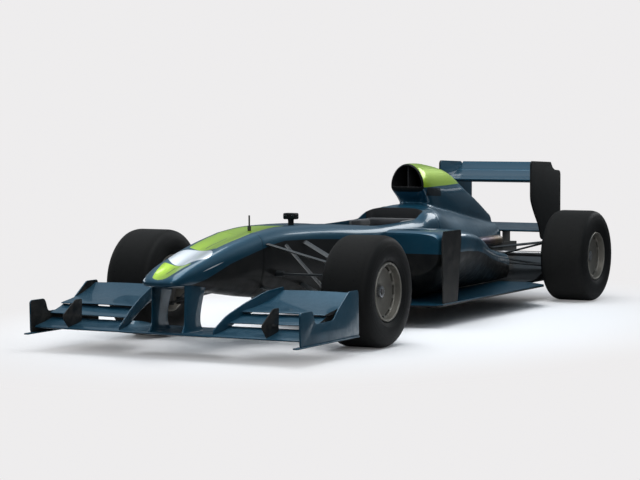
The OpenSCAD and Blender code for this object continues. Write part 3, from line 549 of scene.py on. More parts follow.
# Below this line the sidepod is bare black weave, and that black also paints the shade under the sidepod.
UNDERCUT_SHADE_LINE = [(1.18, 0.470), (1.60, 0.470), (1.85, 0.452), (2.10, 0.418), (2.40, 0.372), (2.70, 0.330),
            (3.00, 0.290), (3.25, 0.250)]
under = (flank.z - flank.along(station, UNDERCUT_SHADE_LINE)).under(0, 0.002)
hatch = (abs(abs(flank.x) - 0.40).under(0.0012, 0.0005) * station.between(1.5, 2.2, 0.002)
         | abs(station - 1.5).under(0.0012, 0.0005) * abs(flank.x).between(0.28, 0.40)) * flank.z.over(0.5)
sidepod_paint = paint_over(flank, TEAL, under, hatch)
for side, name in ((1, "left"), (-1, "right")):
    pod = dressed(skin("sidepod_shell_" + name, POD_SECTIONS, POD_MIDDLE), sidepod_paint)
    carved(pod, dressed(skin("tool", INLET_SECTIONS, INLET_MIDDLE, count=72), inside_weave),
           block((-0.5, FRONT_Y + 1.1, 0.0), (POD_INNER, FRONT_Y + 3.3, 0.9)),
           skin("tool", COVER_SECTIONS, grow=0.002, count=72, step=0.08))
    eased(pod, 0.006, 3, 50)
    if side < 0:
        pod.data.transform(Matrix.Scale(-1, 4, (1, 0, 0)))
        pod.data.flip_normals()
    dressed(pod, None, 40)
    shown(pod, "chassis", "painted_body", "sidepod_" + name)

# ---------------------------------------------------------------- seat and headrest
# The seat is a thin carbon bucket laid back between the cell's walls, lined with a soft suede pad. The
# headrest is a horseshoe of foam round the driver's head, in a stitched suede cover, and lifts out.
SEAT_LINE = [(1.430, 0.300), (1.480, 0.283), (1.560, 0.277), (1.625, 0.281), (1.680, 0.312), (1.740, 0.372),
             (1.800, 0.440), (1.850, 0.505), (1.885, 0.556)]
SEAT_HALF = 0.150


def curve_through(points, parts=6):
    rows = [(i, *p) for i, p in enumerate(points)]
    return [row[1:] for row in faired(rows, 1 / parts)]


def bucket(name, lift, thick, half, first, last, across=28):
    """A closed sheet of that thickness in the bucket's shape, lift above its line."""
    line = curve_through(SEAT_LINE)[first:last]
    points, layers = [], (lift, lift + thick)
    for layer in layers:
        for i, (s, z) in enumerate(line):
            before, after = line[max(i - 1, 0)], line[min(i + 1, len(line) - 1)]
            along = Vector((after[0] - before[0], after[1] - before[1])).normalized()
            for k in range(across + 1):
                u = 2 * k / across - 1
                rise = layer + 0.075 * abs(u) ** 5
                points.append((half * u * (1 - 0.02 * (layer > lift)), FRONT_Y + s - along.y * rise,
                               z + along.x * rise))
    n, m = across + 1, len(line)
    faces = []

    def at(layer, i, k):
        return layer * n * m + i * n + k

    for i in range(m - 1):
        for k in range(across):
            faces.append((at(0, i, k), at(0, i + 1, k), at(0, i + 1, k + 1), at(0, i, k + 1)))
            faces.append((at(1, i, k), at(1, i, k + 1), at(1, i + 1, k + 1), at(1, i + 1, k)))
        for k in (0, across):
            quad = (at(0, i, k), at(1, i, k), at(1, i + 1, k), at(0, i + 1, k))
            faces.append(quad if k == 0 else quad[::-1])
    for k in range(across):
        for i in (0, m - 1):
            quad = (at(0, i, k), at(0, i, k + 1), at(1, i, k + 1), at(1, i, k))
            faces.append(quad if i == 0 else quad[::-1])
    return piece(name, points, faces)


def plumped(made, voxel, swell):
    """The pad puffed up from inside like a filled cover, no point moving further than swell."""
    grid = made.modifiers.new("grid", "REMESH")
    grid.mode, grid.voxel_size = "VOXEL", voxel
    settled(made)
    rest = [v.co.copy() for v in made.data.vertices]
    cloth = made.modifiers.new("cover", "CLOTH")
    cloth.settings.use_pressure, cloth.settings.uniform_pressure_force = True, 4.0
    cloth.settings.effector_weights.gravity = 0.0
    scene = bpy.context.scene
    for number in range(1, 19):
        scene.frame_set(number)
    settled(made)
    scene.frame_set(1)
    for vertex, start in zip(made.data.vertices, rest):
        move = vertex.co - start
        if move.length > swell:
            vertex.co = start + move * (swell / move.length)
    ease = made.modifiers.new("ease", "SMOOTH")
    ease.factor, ease.iterations = 0.5, 6
    finer = made.modifiers.new("finer", "SUBSURF")
    finer.levels = 1
    return settled(made)


suede = Finish("padding_suede", {"Sheen Weight": 0.5, "Sheen Roughness": 0.4, "Specular IOR Level": 0.25})
nap = suede.noise(420.0, 4.0, 0.7)
rub = suede.noise(9.0, 4.0).over(0.5, 0.5)
off_seam = abs(abs(suede.x) - 0.186)
stitch_row = off_seam.under(0.0012, 0.0006)
stitches = stitch_row * (suede.y % 0.006).under(0.0040, 0.0006)
seam_dip = off_seam.under(0.004, 0.004)
padding_suede = suede.feed(
    base_color=suede.blend(stitches, suede.blend(rub, (0.020, 0.021, 0.023, 1), (0.034, 0.035, 0.038, 1)),
                           (0.20, 0.22, 0.23, 1)),
    roughness=0.82 + nap * 0.12 - rub * 0.12,
    normal=suede.bump(nap * 0.3 - seam_dip * 1.6 + stitches * 0.8, 0.5, 0.0012))
shell = dressed(bucket("seat_shell", 0.0, 0.005, SEAT_HALF, 0, 49), inside_weave)
shown(eased(shell, 0.0015, 2), "chassis", "carbon", "seat")
pad = dressed(plumped(bucket("seat_pad", 0.008, 0.016, SEAT_HALF - 0.024, 2, 46), 0.006, 0.006),
              padding_suede, 180)
shown(pad, "chassis", "padding")

HEADREST = [(0.207, 1.930), (-0.207, 1.930), (-0.207, 1.602), (-0.183, 1.602), (-0.160, 1.680),
            (-0.160, 1.840),
            (-0.112, 1.868), (0.112, 1.868), (0.160, 1.840), (0.160, 1.680), (0.183, 1.602), (0.207, 1.602)]
outline = [(x, FRONT_Y + s) for x, s in reversed(HEADREST)]
rest_low, rest_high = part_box("headrest")
cushion = prism(rounded(outline, 0.018), rest_low.z + 0.006, rest_high.z - 0.006, "headrest_cushion")
cushion = dressed(plumped(cushion, 0.006, 0.006), padding_suede, 180)
shown(cushion, "chassis", "padding", "headrest")

# ---------------------------------------------------------------- steering wheel
# The steering wheel is a flat carbon plate with an upright suede grip at each side, a blank display,
# push buttons and three rotary knobs, on a boss and a carbon column that runs through the dash bulkhead.
WHEEL_Y, WHEEL_Z, TILT = FRONT_Y + 1.290, 0.575, math.radians(100)
on_column = Matrix.Translation((0, WHEEL_Y, WHEEL_Z)) @ Matrix.Rotation(TILT, 4, "X")


def joined(name, parts):
    """Several pieces as one, each keeping its own finish."""
    mesh, materials = bmesh.new(), []
    for part in parts:
        offset = len(mesh.verts)
        material = part.data.materials[0]
        if material not in materials:
            materials.append(material)
        for vertex in part.data.vertices:
            mesh.verts.new(part.matrix_world @ vertex.co)
        mesh.verts.ensure_lookup_table()
        for polygon in part.data.polygons:
            face = mesh.faces.new([mesh.verts[offset + i] for i in polygon.vertices])
            face.material_index = materials.index(material)
    data = bpy.data.meshes.new(name)
    mesh.to_mesh(data)
    mesh.free()
    for material in materials:
        data.materials.append(material)
    made = bpy.data.objects.new(name, data)
    bpy.context.scene.collection.objects.link(made)
    for part in parts:
        bpy.data.objects.remove(part)
    made.data.shade_smooth()
    made.data.set_sharp_from_angle(angle=math.radians(35))
    return made


def turned(name, profile, material, count=48, axis="Z", closed=False):
    """A turned piece: profile pairs are (radius, along)."""
    points, faces, m = [], [], len(profile)
    for k in range(count):
        a = math.tau * k / count
        for radius, along in profile:
            spot = (radius * math.cos(a), radius * math.sin(a), along)
            points.append(spot if axis == "Z" else (spot[2], spot[0], spot[1]) if axis == "X"
                          else (spot[1], spot[2], spot[0]))
        for i in range(m if closed else m - 1):
            j = (i + 1) % m
            faces.append((k * m + i, (k + 1) % count * m + i, (k + 1) % count * m + j, k * m + j))
    if not closed:
        faces.append(tuple(k * m for k in range(count))[::-1])
        faces.append(tuple(k * m + m - 1 for k in range(count)))
    made = piece(name, points, faces, material)
    put_right(made)
    return made


def put_right(made):
    """Turns the faces to look outwards."""
    mesh = bmesh.new()
    mesh.from_mesh(made.data)
    bmesh.ops.recalc_face_normals(mesh, faces=mesh.faces)
    mesh.to_mesh(made.data)
    mesh.free()
    return made


carbon = Finish("carbon_gloss", {"Coat Weight": 0.08, "Coat Roughness": 0.12, "Specular IOR Level": 0.12})
tows = weave(carbon)
soil = (0.55 - carbon.z).over(0, 0.5) * carbon.noise(17.0, 6.0, 0.7).over(0.5, 0.3)
carbon_gloss = carbon.feed(
    base_color=carbon.blend(soil * 0.25, carbon.blend(tows, (0.004, 0.0044, 0.0047, 1),
                                                      (0.013, 0.014, 0.015, 1)), (0.12, 0.11, 0.10, 1)),
    roughness=0.36 + tows * 0.12 + soil * 0.25,
    normal=carbon.bump(tows, 0.3, 0.0004))


def plastic(name, colour, rough=0.45):
    made = Finish(name, {})
    grain = made.noise(600.0, 2.0)
    return made.feed(base_color=made.blend(made.noise(30.0), colour,
                                           tuple(c * 0.8 for c in colour[:3]) + (1,)),
                     roughness=rough + grain * 0.15, normal=made.bump(grain, 0.15, 0.0003))


switch_red = plastic("switch_red", (0.45, 0.02, 0.015, 1))
switch_green = plastic("switch_green", (0.03, 0.30, 0.06, 1))
switch_yellow = plastic("switch_yellow", (0.62, 0.44, 0.02, 1))
switch_black = plastic("switch_black", (0.02, 0.02, 0.022, 1))
display = plastic("display_glass", (0.004, 0.008, 0.010, 1), 0.06)
plate = prism(rounded([(0.112, -0.058), (0.112, 0.058), (-0.112, 0.058), (-0.112, -0.058)], 0.034),
              -0.012, 0.009)
for side in (-1, 1):
    hole = rounded([(side * 0.066, -0.036), (side * 0.0815, -0.036), (side * 0.0815, 0.036),
                    (side * 0.066, 0.036)], 0.007)
    carved(plate, put_right(prism(hole, -0.05, 0.05)))
parts = [dressed(eased(put_right(plate), 0.0025, 2), carbon_gloss)]
for side in (-1, 1):
    profile = [(0.0125, -0.062), (0.0150, -0.058)] + [
        (0.0160 + 0.0008 * math.cos(k * math.pi / 3), -0.050 + k * 0.0083)
        for k in range(13)] + [(0.0150, 0.058), (0.0125, 0.062)]
    grip = turned("grip", profile, padding_suede, 28, "Y")
    grip.data.transform(Matrix.Translation((side * 0.100, 0, -0.002)))
    parts.append(grip)
    paddle = prism(rounded([(side * 0.040, -0.004), (side * 0.094, -0.010), (side * 0.098, 0.032),
                            (side * 0.045, 0.024)], 0.008), 0.019, 0.022)
    parts.append(dressed(put_right(paddle), carbon_gloss))
screen = prism(rounded([(0.027, 0.004), (0.027, 0.034), (-0.027, 0.034), (-0.027, 0.004)], 0.004),
               -0.0145, -0.011)
parts.append(dressed(eased(put_right(screen), 0.001, 2), display))
for x, y, material in ((0.047, 0.036, switch_red), (-0.047, 0.036, switch_green),
                       (0.047, 0.019, switch_yellow), (-0.047, 0.019, switch_black),
                       (0.050, -0.002, switch_black), (-0.050, -0.002, switch_red)):
    button = turned("button", [(0.0052, 0.0), (0.0052, -0.0035), (0.0046, -0.0045), (0.0030, -0.0049)],
                    material, 20)
    button.data.transform(Matrix.Translation((x, y, -0.012)))
    parts.append(button)
for x, y in ((0.0, -0.020), (0.033, -0.030), (-0.033, -0.030)):
    profile = [(0.0095, 0.0), (0.0095, -0.003), (0.0075, -0.005), (0.0070, -0.0095), (0.0058, -0.0105)]
    knob = turned("knob", profile, switch_black, 24)
    knob.data.transform(Matrix.Translation((x, y, -0.012)))
    parts.append(knob)
parts.append(turned("boss", [(0.026, 0.009), (0.030, 0.013), (0.030, 0.046), (0.026, 0.050), (0.014, 0.052),
                             (0.014, 0.289), (0.012, 0.290)], carbon_gloss, 40))
hand_wheel = joined("steering_wheel_controls", parts)
hand_wheel.data.transform(on_column)
shown(hand_wheel, "hand_wheel", "carbon", "steering_wheel")

# ---------------------------------------------------------------- front wing
# The front wing hangs from two pylons. Its middle is plain, and outboard it has a cascade of two flaps
# behind the main plane, closed by a swept plate inboard and by a cut-out end plate on a foot outboard.
# It is carbon, painted as the body is, with bare black weave on the inner faces of the end plates; that
# black also paints the shade that falls on those faces.
WING_LE, WING_Z, WING_TIP = FRONT_Y - 1.060, 0.142, 0.880


def foil(chord, thick, camber, angle, count=18):
    """A closed wing outline as (back, up) pairs, nose at the origin."""
    shape = []
    for k in list(range(count, -1, -1)) + list(range(1, count)):
        t = (1 - math.cos(math.pi * k / count)) / 2
        half = thick * 5 * (0.2969 * t**0.5 - 0.126 * t - 0.3516 * t * t
                            + 0.2843 * t**3 - 0.1036 * t**4) + 0.0005
        side = 1 if len(shape) <= count else -1
        shape.append((chord * t, -4 * camber * t * (1 - t) + side * half))
    c, s = math.cos(angle), math.sin(angle)
    return [(b * c - u * s, b * s + u * c) for b, u in shape]


def wing(name, spans, shape, across, material=None, both=False):
    """A wing lofted over spans.

    shape(t) gives y, z, chord, thickness, camber and angle, across(t, y) its x.
    """
    rows = []
    for t in spans:
        y, z, chord, thick, camber, angle = shape(t)
        rows.append([(across(t, y + back), y + back, z + up)
                     for back, up in foil(chord, thick, camber, math.radians(angle))])
    points, faces = [], []
    for side in (1, -1) if both else (1,):
        faces += loft_faces(len(rows[0]), len(rows), len(points))
        points += [(side * x, y, z) for row in rows for x, y, z in row]
    return put_right(piece(name, points, faces, material))


def upright(name, outline, x_from, x_to, material=None, both=True, ease=0.0015, corner=0.012):
    """A flat upright panel on an outline of (y, z), rounded at its corners and edges."""
    outline = rounded(outline, corner)
    points, faces = [], []
    for side in (1, -1) if both else (1,):
        faces += loft_faces(len(outline), 2, len(points), 1)
        points += [(side * x, y, z) for x in (x_from, x_to) for y, z in outline]
    made = put_right(piece(name, points, faces))
    return dressed(eased(made, ease, 2), material)


def smooth(low, high, value):
    t = min(max((value - low) / (high - low), 0.0), 1.0)
    return t * t * (3 - 2 * t)


wings = Finish("wing_paint", PAINT_FIXED)
station = wings.y - FRONT_Y
# The inner faces of the front end plates are bare black weave, and that black also paints the shade on them.
plate_inside_shade = abs(wings.x).between(WING_TIP - 0.001, WING_TIP + 0.0006, 0.0004) * station.under(-0.35)
wing_paint = paint_over(wings, TEAL, plate_inside_shade)


def main_shape(t):
    k = smooth(0.262, 0.335, abs(t) * WING_TIP)
    return WING_LE, WING_Z, 0.330 - 0.150 * k, 0.022 - 0.003 * k, 0.008 + 0.002 * k, 2 + 12 * k


spans = sorted({round(i / 40, 4) for i in range(-40, 41)}
               | {round(s * (0.29 + i * 0.008), 4) for i in range(14) for s in (-1, 1)})
main_plane = wing("front_main_plane", spans, main_shape, lambda t, y: t * WING_TIP, wing_paint)
shown(main_plane, "chassis", "painted_body", "front_wing_main_plane")

SWEEP = math.tan(math.radians(10.8))


def across_flap(t, y):
    """Where t from 0 to 1 lies between the swept inner end of a flap and the end plate."""
    inner = 0.304 + SWEEP * (y - FRONT_Y + 1.010)
    return inner + t * (WING_TIP - inner)


flaps = [
    wing("flap", [i / 16 for i in range(17)],
         lambda t: (FRONT_Y - 0.905, WING_Z + 0.063 + 0.006 * t, 0.140, 0.013, 0.008, 18), across_flap,
         wing_paint, True),
    wing("flap", [i / 16 for i in range(17)],
         lambda t: (FRONT_Y - 0.795, WING_Z + 0.118 + 0.004 * math.sin(math.pi * t), 0.372, 0.017, 0.022, 15),
         across_flap, wing_paint, True)]
STRIP = [(-0.030, -0.002), (0.120, 0.038), (0.240, 0.088), (0.440, 0.140), (0.578, 0.190), (0.590, 0.236),
         (0.430, 0.218), (0.250, 0.165), (0.100, 0.108), (-0.030, 0.030)]
strip = upright("strip", [(FRONT_Y - 1.010 + y, WING_Z + z) for y, z in STRIP], 0.300, 0.308, wing_paint,
                True, 0.002, 0.03)
for vertex in strip.data.vertices:
    vertex.co.x += math.copysign(SWEEP * (vertex.co.y - FRONT_Y + 1.010), vertex.co.x)
flap_set = joined("front_flaps", flaps + [strip])
shown(flap_set, "chassis", "painted_body", "front_wing_flaps")

foot_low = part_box("front_wing_end_plates")[0]
FOOT_Z, PLATE_FRONT = foot_low.z, foot_low.y
END_PLATE = [(0.055, 0.0), (0.050, 0.183), (0.064, 0.195), (0.190, 0.195), (0.208, 0.171), (0.225, 0.119),
             (0.440, 0.122),
             (0.485, 0.169), (0.625, 0.264), (0.640, 0.267), (0.735, 0.267), (0.746, 0.256), (0.752, 0.0)]
end_plate = upright("end_plate", [(PLATE_FRONT + y, FOOT_Z + z) for y, z in END_PLATE], WING_TIP,
                    WING_TIP + 0.010,
                    wing_paint, True, 0.003, 0.03)
foot_outline = [(0.866, 0.004), (0.894, 0.0), (0.900, 0.016), (0.900, 0.735), (0.894, 0.752), (0.866, 0.752)]
feet = []
for side in (1, -1):
    foot = put_right(prism(rounded([(side * x, PLATE_FRONT + y) for x, y in foot_outline], 0.008), FOOT_Z,
                           FOOT_Z + 0.008))
    feet.append(dressed(eased(foot, 0.003, 3), wing_paint))
end_plates = joined("front_end_plates", [end_plate, *feet])
shown(end_plates, "chassis", "painted_body", "front_wing_end_plates")

VANE = [(0.012, 0.006), (-0.042, 0.062), (-0.038, 0.084), (0.085, 0.162), (0.150, 0.162), (0.145, 0.030)]
vanes = upright("front_vanes", [(WING_LE + y, WING_Z + z) for y, z in VANE], 0.650, 0.656, carbon_gloss,
                True, 0.002, 0.012)
shown(vanes, "chassis", "carbon", "front_wing_vanes")

PYLON = [(0.146, 0.006, 0.262, 0.030), (0.160, 0.022, 0.236, 0.022), (0.200, 0.041, 0.218, 0.017),
         (0.260, 0.046, 0.224, 0.016),
         (0.340, 0.048, 0.252, 0.016), (0.400, 0.048, 0.284, 0.018), (0.425, 0.044, 0.296, 0.022)]
pylon_rows = faired(PYLON, 0.012)
points, faces = [], []
for side in (1, -1):
    base = len(points)
    for z, front, back, thick in pylon_rows:
        for y, x in foil(back - front, thick, 0.0, 0.0, 14):
            points.append((side * (0.108 + x), WING_LE + front + y, z))
    faces += loft_faces(len(points[base:]) // len(pylon_rows), len(pylon_rows), base, 1)
pylons = put_right(piece("front_pylons", points, faces, wing_paint, 60))
shown(pylons, "chassis", "painted_body", "front_wing_pylons")

# ---------------------------------------------------------------- floor, bargeboards and vanes
# The floor is one flat carbon panel with a hard wooden skid plank along its middle and a diffuser with
# fences at its tail. The bargeboards and the vanes ahead of the sidepods stand on it and are bare carbon.
# Beside the sidepods its top is teal, a painted reflection of the teal bodywork in the glossy floor.
panel = Finish("floor_carbon", {"Coat Weight": 0.20, "Coat Roughness": 0.10, "Specular IOR Level": 0.15})
tows = weave(panel, 0.006)
plank = panel.z.under(0.1398, 0.0004) * abs(panel.x).under(0.1205)
grain = panel.node("ShaderNodeTexNoise", {}, {"Vector": panel.node(
    "ShaderNodeVectorMath", {"operation": "MULTIPLY"}, [panel.place, (160.0, 5.0, 160.0)]), "Scale": 1.0,
    "Detail": 4.0})
scrape = panel.noise(24.0, 5.0, 0.7).over(0.55, 0.2) * panel.z.under(0.141, 0.001)
station = panel.y - FRONT_Y
# Outboard beside the sidepods the floor's top is teal and partly metallic: a painted reflection of the teal
# bodywork.
teal_reflection = abs(panel.x).over(0.30) * station.between(1.06, 3.02) * panel.z.over(0.150)
base = panel.blend(tows, (0.004, 0.0044, 0.0047, 1), (0.011, 0.012, 0.013, 1))
base = panel.blend(teal_reflection, base, panel.blend(panel.noise(3.0), TEAL, TEAL_DEEP))
base = panel.blend(plank, base, panel.blend(grain, (0.16, 0.095, 0.045, 1), (0.28, 0.18, 0.09, 1)))
floor_carbon = panel.feed(
    base_color=panel.blend(scrape * 0.5, base, (0.20, 0.19, 0.18, 1)),
    metallic=teal_reflection * 0.40,
    roughness=0.30 + tows * 0.08 + scrape * 0.3 + plank * 0.3,
    normal=panel.bump(tows * (1 - teal_reflection) * 0.6 + grain * plank * 0.5 - scrape * 0.5, 0.3, 0.0005))


def refinished(material, *nodes):
    """Gives solids that stay as they are a worked finish in place of their flat colour."""
    for node in nodes:
        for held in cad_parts[node].material_slots:
            held.material = material


refinished(floor_carbon, "floor")
refinished(carbon_gloss, "bargeboards", "sidepod_vanes")

# ---------------------------------------------------------------- rear wing
# The rear wing has a deep cambered main plane and a steep flap between two tall end plates, which reach
# down past the beam wing behind the gearbox. The planes are painted as the body is, with their places
# for lettering left bare. The end plates are satin carbon outside and painted on their inner faces.
REAR_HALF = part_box("rear_wing_planes")[1].x
TOP_Z = 1.005
gentle = [i / 16 for i in range(-16, 17)]
planes = [
    wing("plane", gentle, lambda t: (FRONT_Y + 3.460, TOP_Z - 0.130, 0.300, 0.034, 0.026, 12),
         lambda t, y: t * REAR_HALF, wing_paint),
    wing("plane", gentle, lambda t: (FRONT_Y + 3.755, TOP_Z - 0.070, 0.125, 0.018, 0.008, 32),
         lambda t, y: t * REAR_HALF, wing_paint)]
rear_planes = joined("rear_planes", planes)
shown(rear_planes, "chassis", "painted_body", "rear_wing_planes")
beam = wing("beam_plane", gentle, lambda t: (FRONT_Y + 3.655, 0.488, 0.230, 0.024, 0.014, 12),
            lambda t, y: t * REAR_HALF, wing_paint)
shown(beam, "chassis", "painted_body", "beam_wing")
tail_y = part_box("rear_wing_end_plates")[1].y
REAR_PLATE = [(3.435, 0.999), (3.455, 1.017), (3.833, 1.003), (3.860, 0.965), (3.905, 0.943),
              (tail_y - FRONT_Y, 0.935),
              (tail_y - FRONT_Y, 0.425), (3.640, 0.425), (3.610, 0.520), (3.500, 0.640), (3.436, 0.730)]
satin = Finish("end_plate_carbon", {"Coat Weight": 0.05, "Coat Roughness": 0.3, "Specular IOR Level": 0.15})
tows = weave(satin)
end_plate_carbon = satin.feed(
    base_color=satin.blend(tows, (0.006, 0.0063, 0.0063, 1), (0.015, 0.0155, 0.0155, 1)),
    roughness=0.48 + tows * 0.12 + satin.noise(12.0, 5.0) * 0.1,
    normal=satin.bump(tows, 0.3, 0.0005))
rear_plates = upright("rear_end_plates", [(FRONT_Y + s, z) for s, z in REAR_PLATE], REAR_HALF,
                      REAR_HALF + 0.012,
                      end_plate_carbon, True, 0.003, 0.04)
rear_plates.data.materials.append(wing_paint)
for face in rear_plates.data.polygons:
    if abs(face.center.x) < REAR_HALF + 0.001:
        face.material_index = 1
shown(rear_plates, "chassis", "carbon", "rear_wing_end_plates")

# ---------------------------------------------------------------- engine, gearbox, radiators and tail
# The engine is a plain block behind the driver. The gearbox is a cast case that carries the rear arms,
# the beam wing and the crash structure with its red lamp. Two radiator cores stand in the sidepods, and
# the exhaust tails lie in the corners between cover and sidepods.
cast = Finish("cast_case", {})
sand = cast.noise(240.0, 5.0, 0.7)
oily = cast.noise(5.0, 5.0).over(0.5, 0.3)
cast_case = cast.feed(
    base_color=cast.blend(oily * 0.6, (0.20, 0.20, 0.195, 1), (0.075, 0.07, 0.062, 1)),
    metallic=0.85 - oily * 0.2, roughness=0.48 + sand * 0.18 - oily * 0.12,
    normal=cast.bump(sand, 0.4, 0.0008))
refinished(cast_case, "engine_block", "gearbox", "rear_uprights", "front_upright_left", "front_upright_right")
core = Finish("radiator_core", {})
# The core is flat: the shade deep between its fins is painted, dark between the fins and lighter on them.
fins_and_gap_shade = abs(((core.z / 0.0035) % 1) - 0.5)
tubes = abs(((core.x / 0.011) % 1) - 0.5).under(0.12, 0.06)
radiator_core = core.feed(
    base_color=core.blend(tubes, core.blend(fins_and_gap_shade, (0.05, 0.05, 0.052, 1), (0.30, 0.30, 0.30, 1)),
                          (0.42, 0.42, 0.42, 1)),
    metallic=0.7 + tubes * 0.2, roughness=0.5 - tubes * 0.1,
    normal=core.bump(fins_and_gap_shade * (1 - tubes) + tubes, 0.8, 0.002))
refinished(radiator_core, "radiators")
heat = Finish("exhaust_steel", {})
tint = heat.along(heat.y - FRONT_Y, [(2.6, 0.9), (2.85, 0.45), (3.0, 0.2), (3.1, 0.0)])
exhaust_steel = heat.feed(
    base_color=heat.node("ShaderNodeValToRGB",
                         {"stops": [(0.0, (0.20, 0.19, 0.175, 1)), (0.35, (0.16, 0.115, 0.075, 1)),
                         (0.6, (0.10, 0.075, 0.10, 1)), (1.0, (0.06, 0.065, 0.085, 1))]},
                         [tint + heat.noise(12.0) * 0.25]),
    metallic=0.95 - heat.noise(40.0) * 0.1, roughness=0.30 + heat.noise(60.0, 4.0) * 0.2,
    normal=heat.bump(heat.noise(300.0), 0.1, 0.0005))
refinished(exhaust_steel, "exhausts")
lamp_low, lamp_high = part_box("rain_light")
lens_red = Finish("lamp_lens", {"Coat Weight": 0.8, "Coat Roughness": 0.04, "Transmission Weight": 0.0})
cells = ((((lens_red.x / 0.0078) % 1) - 0.5) ** 2 + (((lens_red.z / 0.0078) % 1) - 0.5) ** 2) ** 0.5
lamp_lens = lens_red.feed(
    base_color=lens_red.blend(cells.under(0.38, 0.1), (0.16, 0.004, 0.004, 1), (0.62, 0.02, 0.015, 1)),
    roughness=0.14 + cells * 0.2, normal=lens_red.bump(cells * -1.0, 0.6, 0.002))
lamp = dressed(eased(block(lamp_low, lamp_high), 0.005, 4), lamp_lens)
lamp.name = "tail_lamp"
shown(lamp, "chassis", "red_lens", "rain_light")

# ---------------------------------------------------------------- camera pod and aerials
# A camera housing stands on a short pedestal on the cell's top, a rounded box with two dark windows in
# its front. A thin whip aerial on a rubber foot stands ahead of it.
pod_low, pod_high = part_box("nose_camera")
POD_TALL = 0.039
bar = block((pod_low.x, pod_low.y, pod_high.z - POD_TALL), pod_high)
bar = dressed(eased(bar, 0.009, 5), carbon_gloss)
stem_rows = [(0.655, 0.050, 0.019), (0.680, 0.044, 0.018), (0.700, 0.042, 0.017), (0.724, 0.044, 0.019)]
points, sides = [], 28
for z, length, half in faired(stem_rows, 0.006):
    for k in range(sides):
        a = math.tau * k / sides
        points.append((half * math.cos(a), pod_low.y + 0.028 + length / 2 * math.sin(a), z))
stem = put_right(piece("stem", points, loft_faces(sides, len(points) // sides, 0, 1), carbon_gloss))
windows = []
for x in (-0.026, 0.026):
    window = turned("window", [(0.0100, 0.0), (0.0100, -0.0012), (0.0084, -0.0024), (0.0030, -0.0030)],
                    display, 24, "Y")
    window.data.transform(Matrix.Translation((x, pod_low.y + 0.0005, pod_high.z - POD_TALL / 2)))
    windows.append(window)
camera_pod = joined("camera_pod", [bar, stem, *windows])
shown(camera_pod, "chassis", "carbon", "nose_camera")
refinished(switch_black, "aerials")

# ---------------------------------------------------------------- suspension and steering
# The wishbones, pushrods, pullrods and tie rods are carbon arms of wing section, bonded to their joints
# and picked up on the cell and on the gearbox. The drive shafts are ground steel.
arm = Finish("arm_carbon", {"Coat Weight": 0.22, "Coat Roughness": 0.15, "Specular IOR Level": 0.25})
arm_carbon = woven(arm, ((0.007, 0.0085, 0.0095, 1), (0.021, 0.025, 0.027, 1)),
                   arm.noise(20.0, 5.0) * 0.12 + 0.34, (0.25, 0.0003), 0.003)
refinished(arm_carbon, "front_wishbones", "front_pushrods", "rear_wishbones", "rear_pullrods",
           "steering_rack")
ground_steel = Finish("shaft_steel", {})
lathe_lines = ground_steel.node("ShaderNodeTexNoise", {}, {"Vector": ground_steel.node(
    "ShaderNodeVectorMath", {"operation": "MULTIPLY"}, [ground_steel.place, (900.0, 6.0, 6.0)]),
    "Scale": 1.0, "Detail": 2.0})
shaft_steel = ground_steel.feed(
    base_color=ground_steel.blend(ground_steel.noise(6.0), (0.40, 0.40, 0.41, 1), (0.30, 0.29, 0.28, 1)),
    metallic=0.97 - lathe_lines * 0.05, roughness=0.26 + lathe_lines * 0.14,
    normal=ground_steel.bump(lathe_lines, 0.15, 0.0003))
refinished(shaft_steel, "rear_left_drive_shaft", "rear_right_drive_shaft")

# ---------------------------------------------------------------- wheels
# Four slick tyres on forged magnesium rims. Each rim is a barrel with a shallow dished disc set well back
# from its outer lip, twelve slots round the disc's edge and a castellated centre nut. The tread is
# scrubbed dull and the sidewalls are smoother, with moulded rings and no lettering.
rubber = Finish("tyre_rubber", {"Specular IOR Level": 0.14})
radius = (rubber.y * rubber.y + rubber.z * rubber.z) ** 0.5
scuff = rubber.noise(30.0, 6.0, 0.7)
pebble = rubber.noise(700.0, 3.0, 0.7)
tread = radius.over(0.318, 0.010)
rings = (abs(((radius / 0.0055) % 1) - 0.5)) * radius.between(0.232, 0.262, 0.002) * 0.6
bead = radius.between(0.203, 0.209, 0.002) + radius.between(0.272, 0.2745, 0.001)
lie = rubber.node("ShaderNodeMath", {"operation": "ARCTAN2"}, [rubber.z, rubber.y]) * (36 / math.tau)
pit_round = ((((lie % 1) - 0.5) * 0.0565) ** 2 + (abs(rubber.x) - 0.075) ** 2) ** 0.5
# The wear pits are painted darker than any rubber here; beyond the unscrubbed rubber in them, that dark is
# painted shade in the pits.
pits_and_pit_shade = pit_round.under(0.0035, 0.001) * tread
worn = rubber.blend(scuff, (0.0070, 0.0070, 0.0068, 1), (0.0145, 0.0142, 0.0136, 1))
wall = rubber.blend(rubber.noise(5.0, 3.0), (0.0050, 0.0050, 0.0049, 1), (0.0090, 0.0090, 0.0087, 1))
tyre_rubber = rubber.feed(
    base_color=rubber.blend(pits_and_pit_shade, rubber.blend(tread, wall, worn), (0.003, 0.003, 0.003, 1)),
    roughness=0.52 + tread * 0.28 + scuff * 0.12,
    normal=rubber.bump(pebble * 0.3 + scuff * tread * 0.6 + rings + bead - pits_and_pit_shade * 3, 0.5, 0.0014))
alloy = Finish("wheel_magnesium", {"Coat Weight": 0.12, "Coat Roughness": 0.25})
across = (alloy.y * alloy.y + alloy.z * alloy.z) ** 0.5
brake_dust = alloy.noise(7.0, 5.0).over(0.35, 0.6) * across.under(0.16, 0.06)
turning = abs(((across / 0.0016) % 1) - 0.5) * across.over(0.158, 0.004)
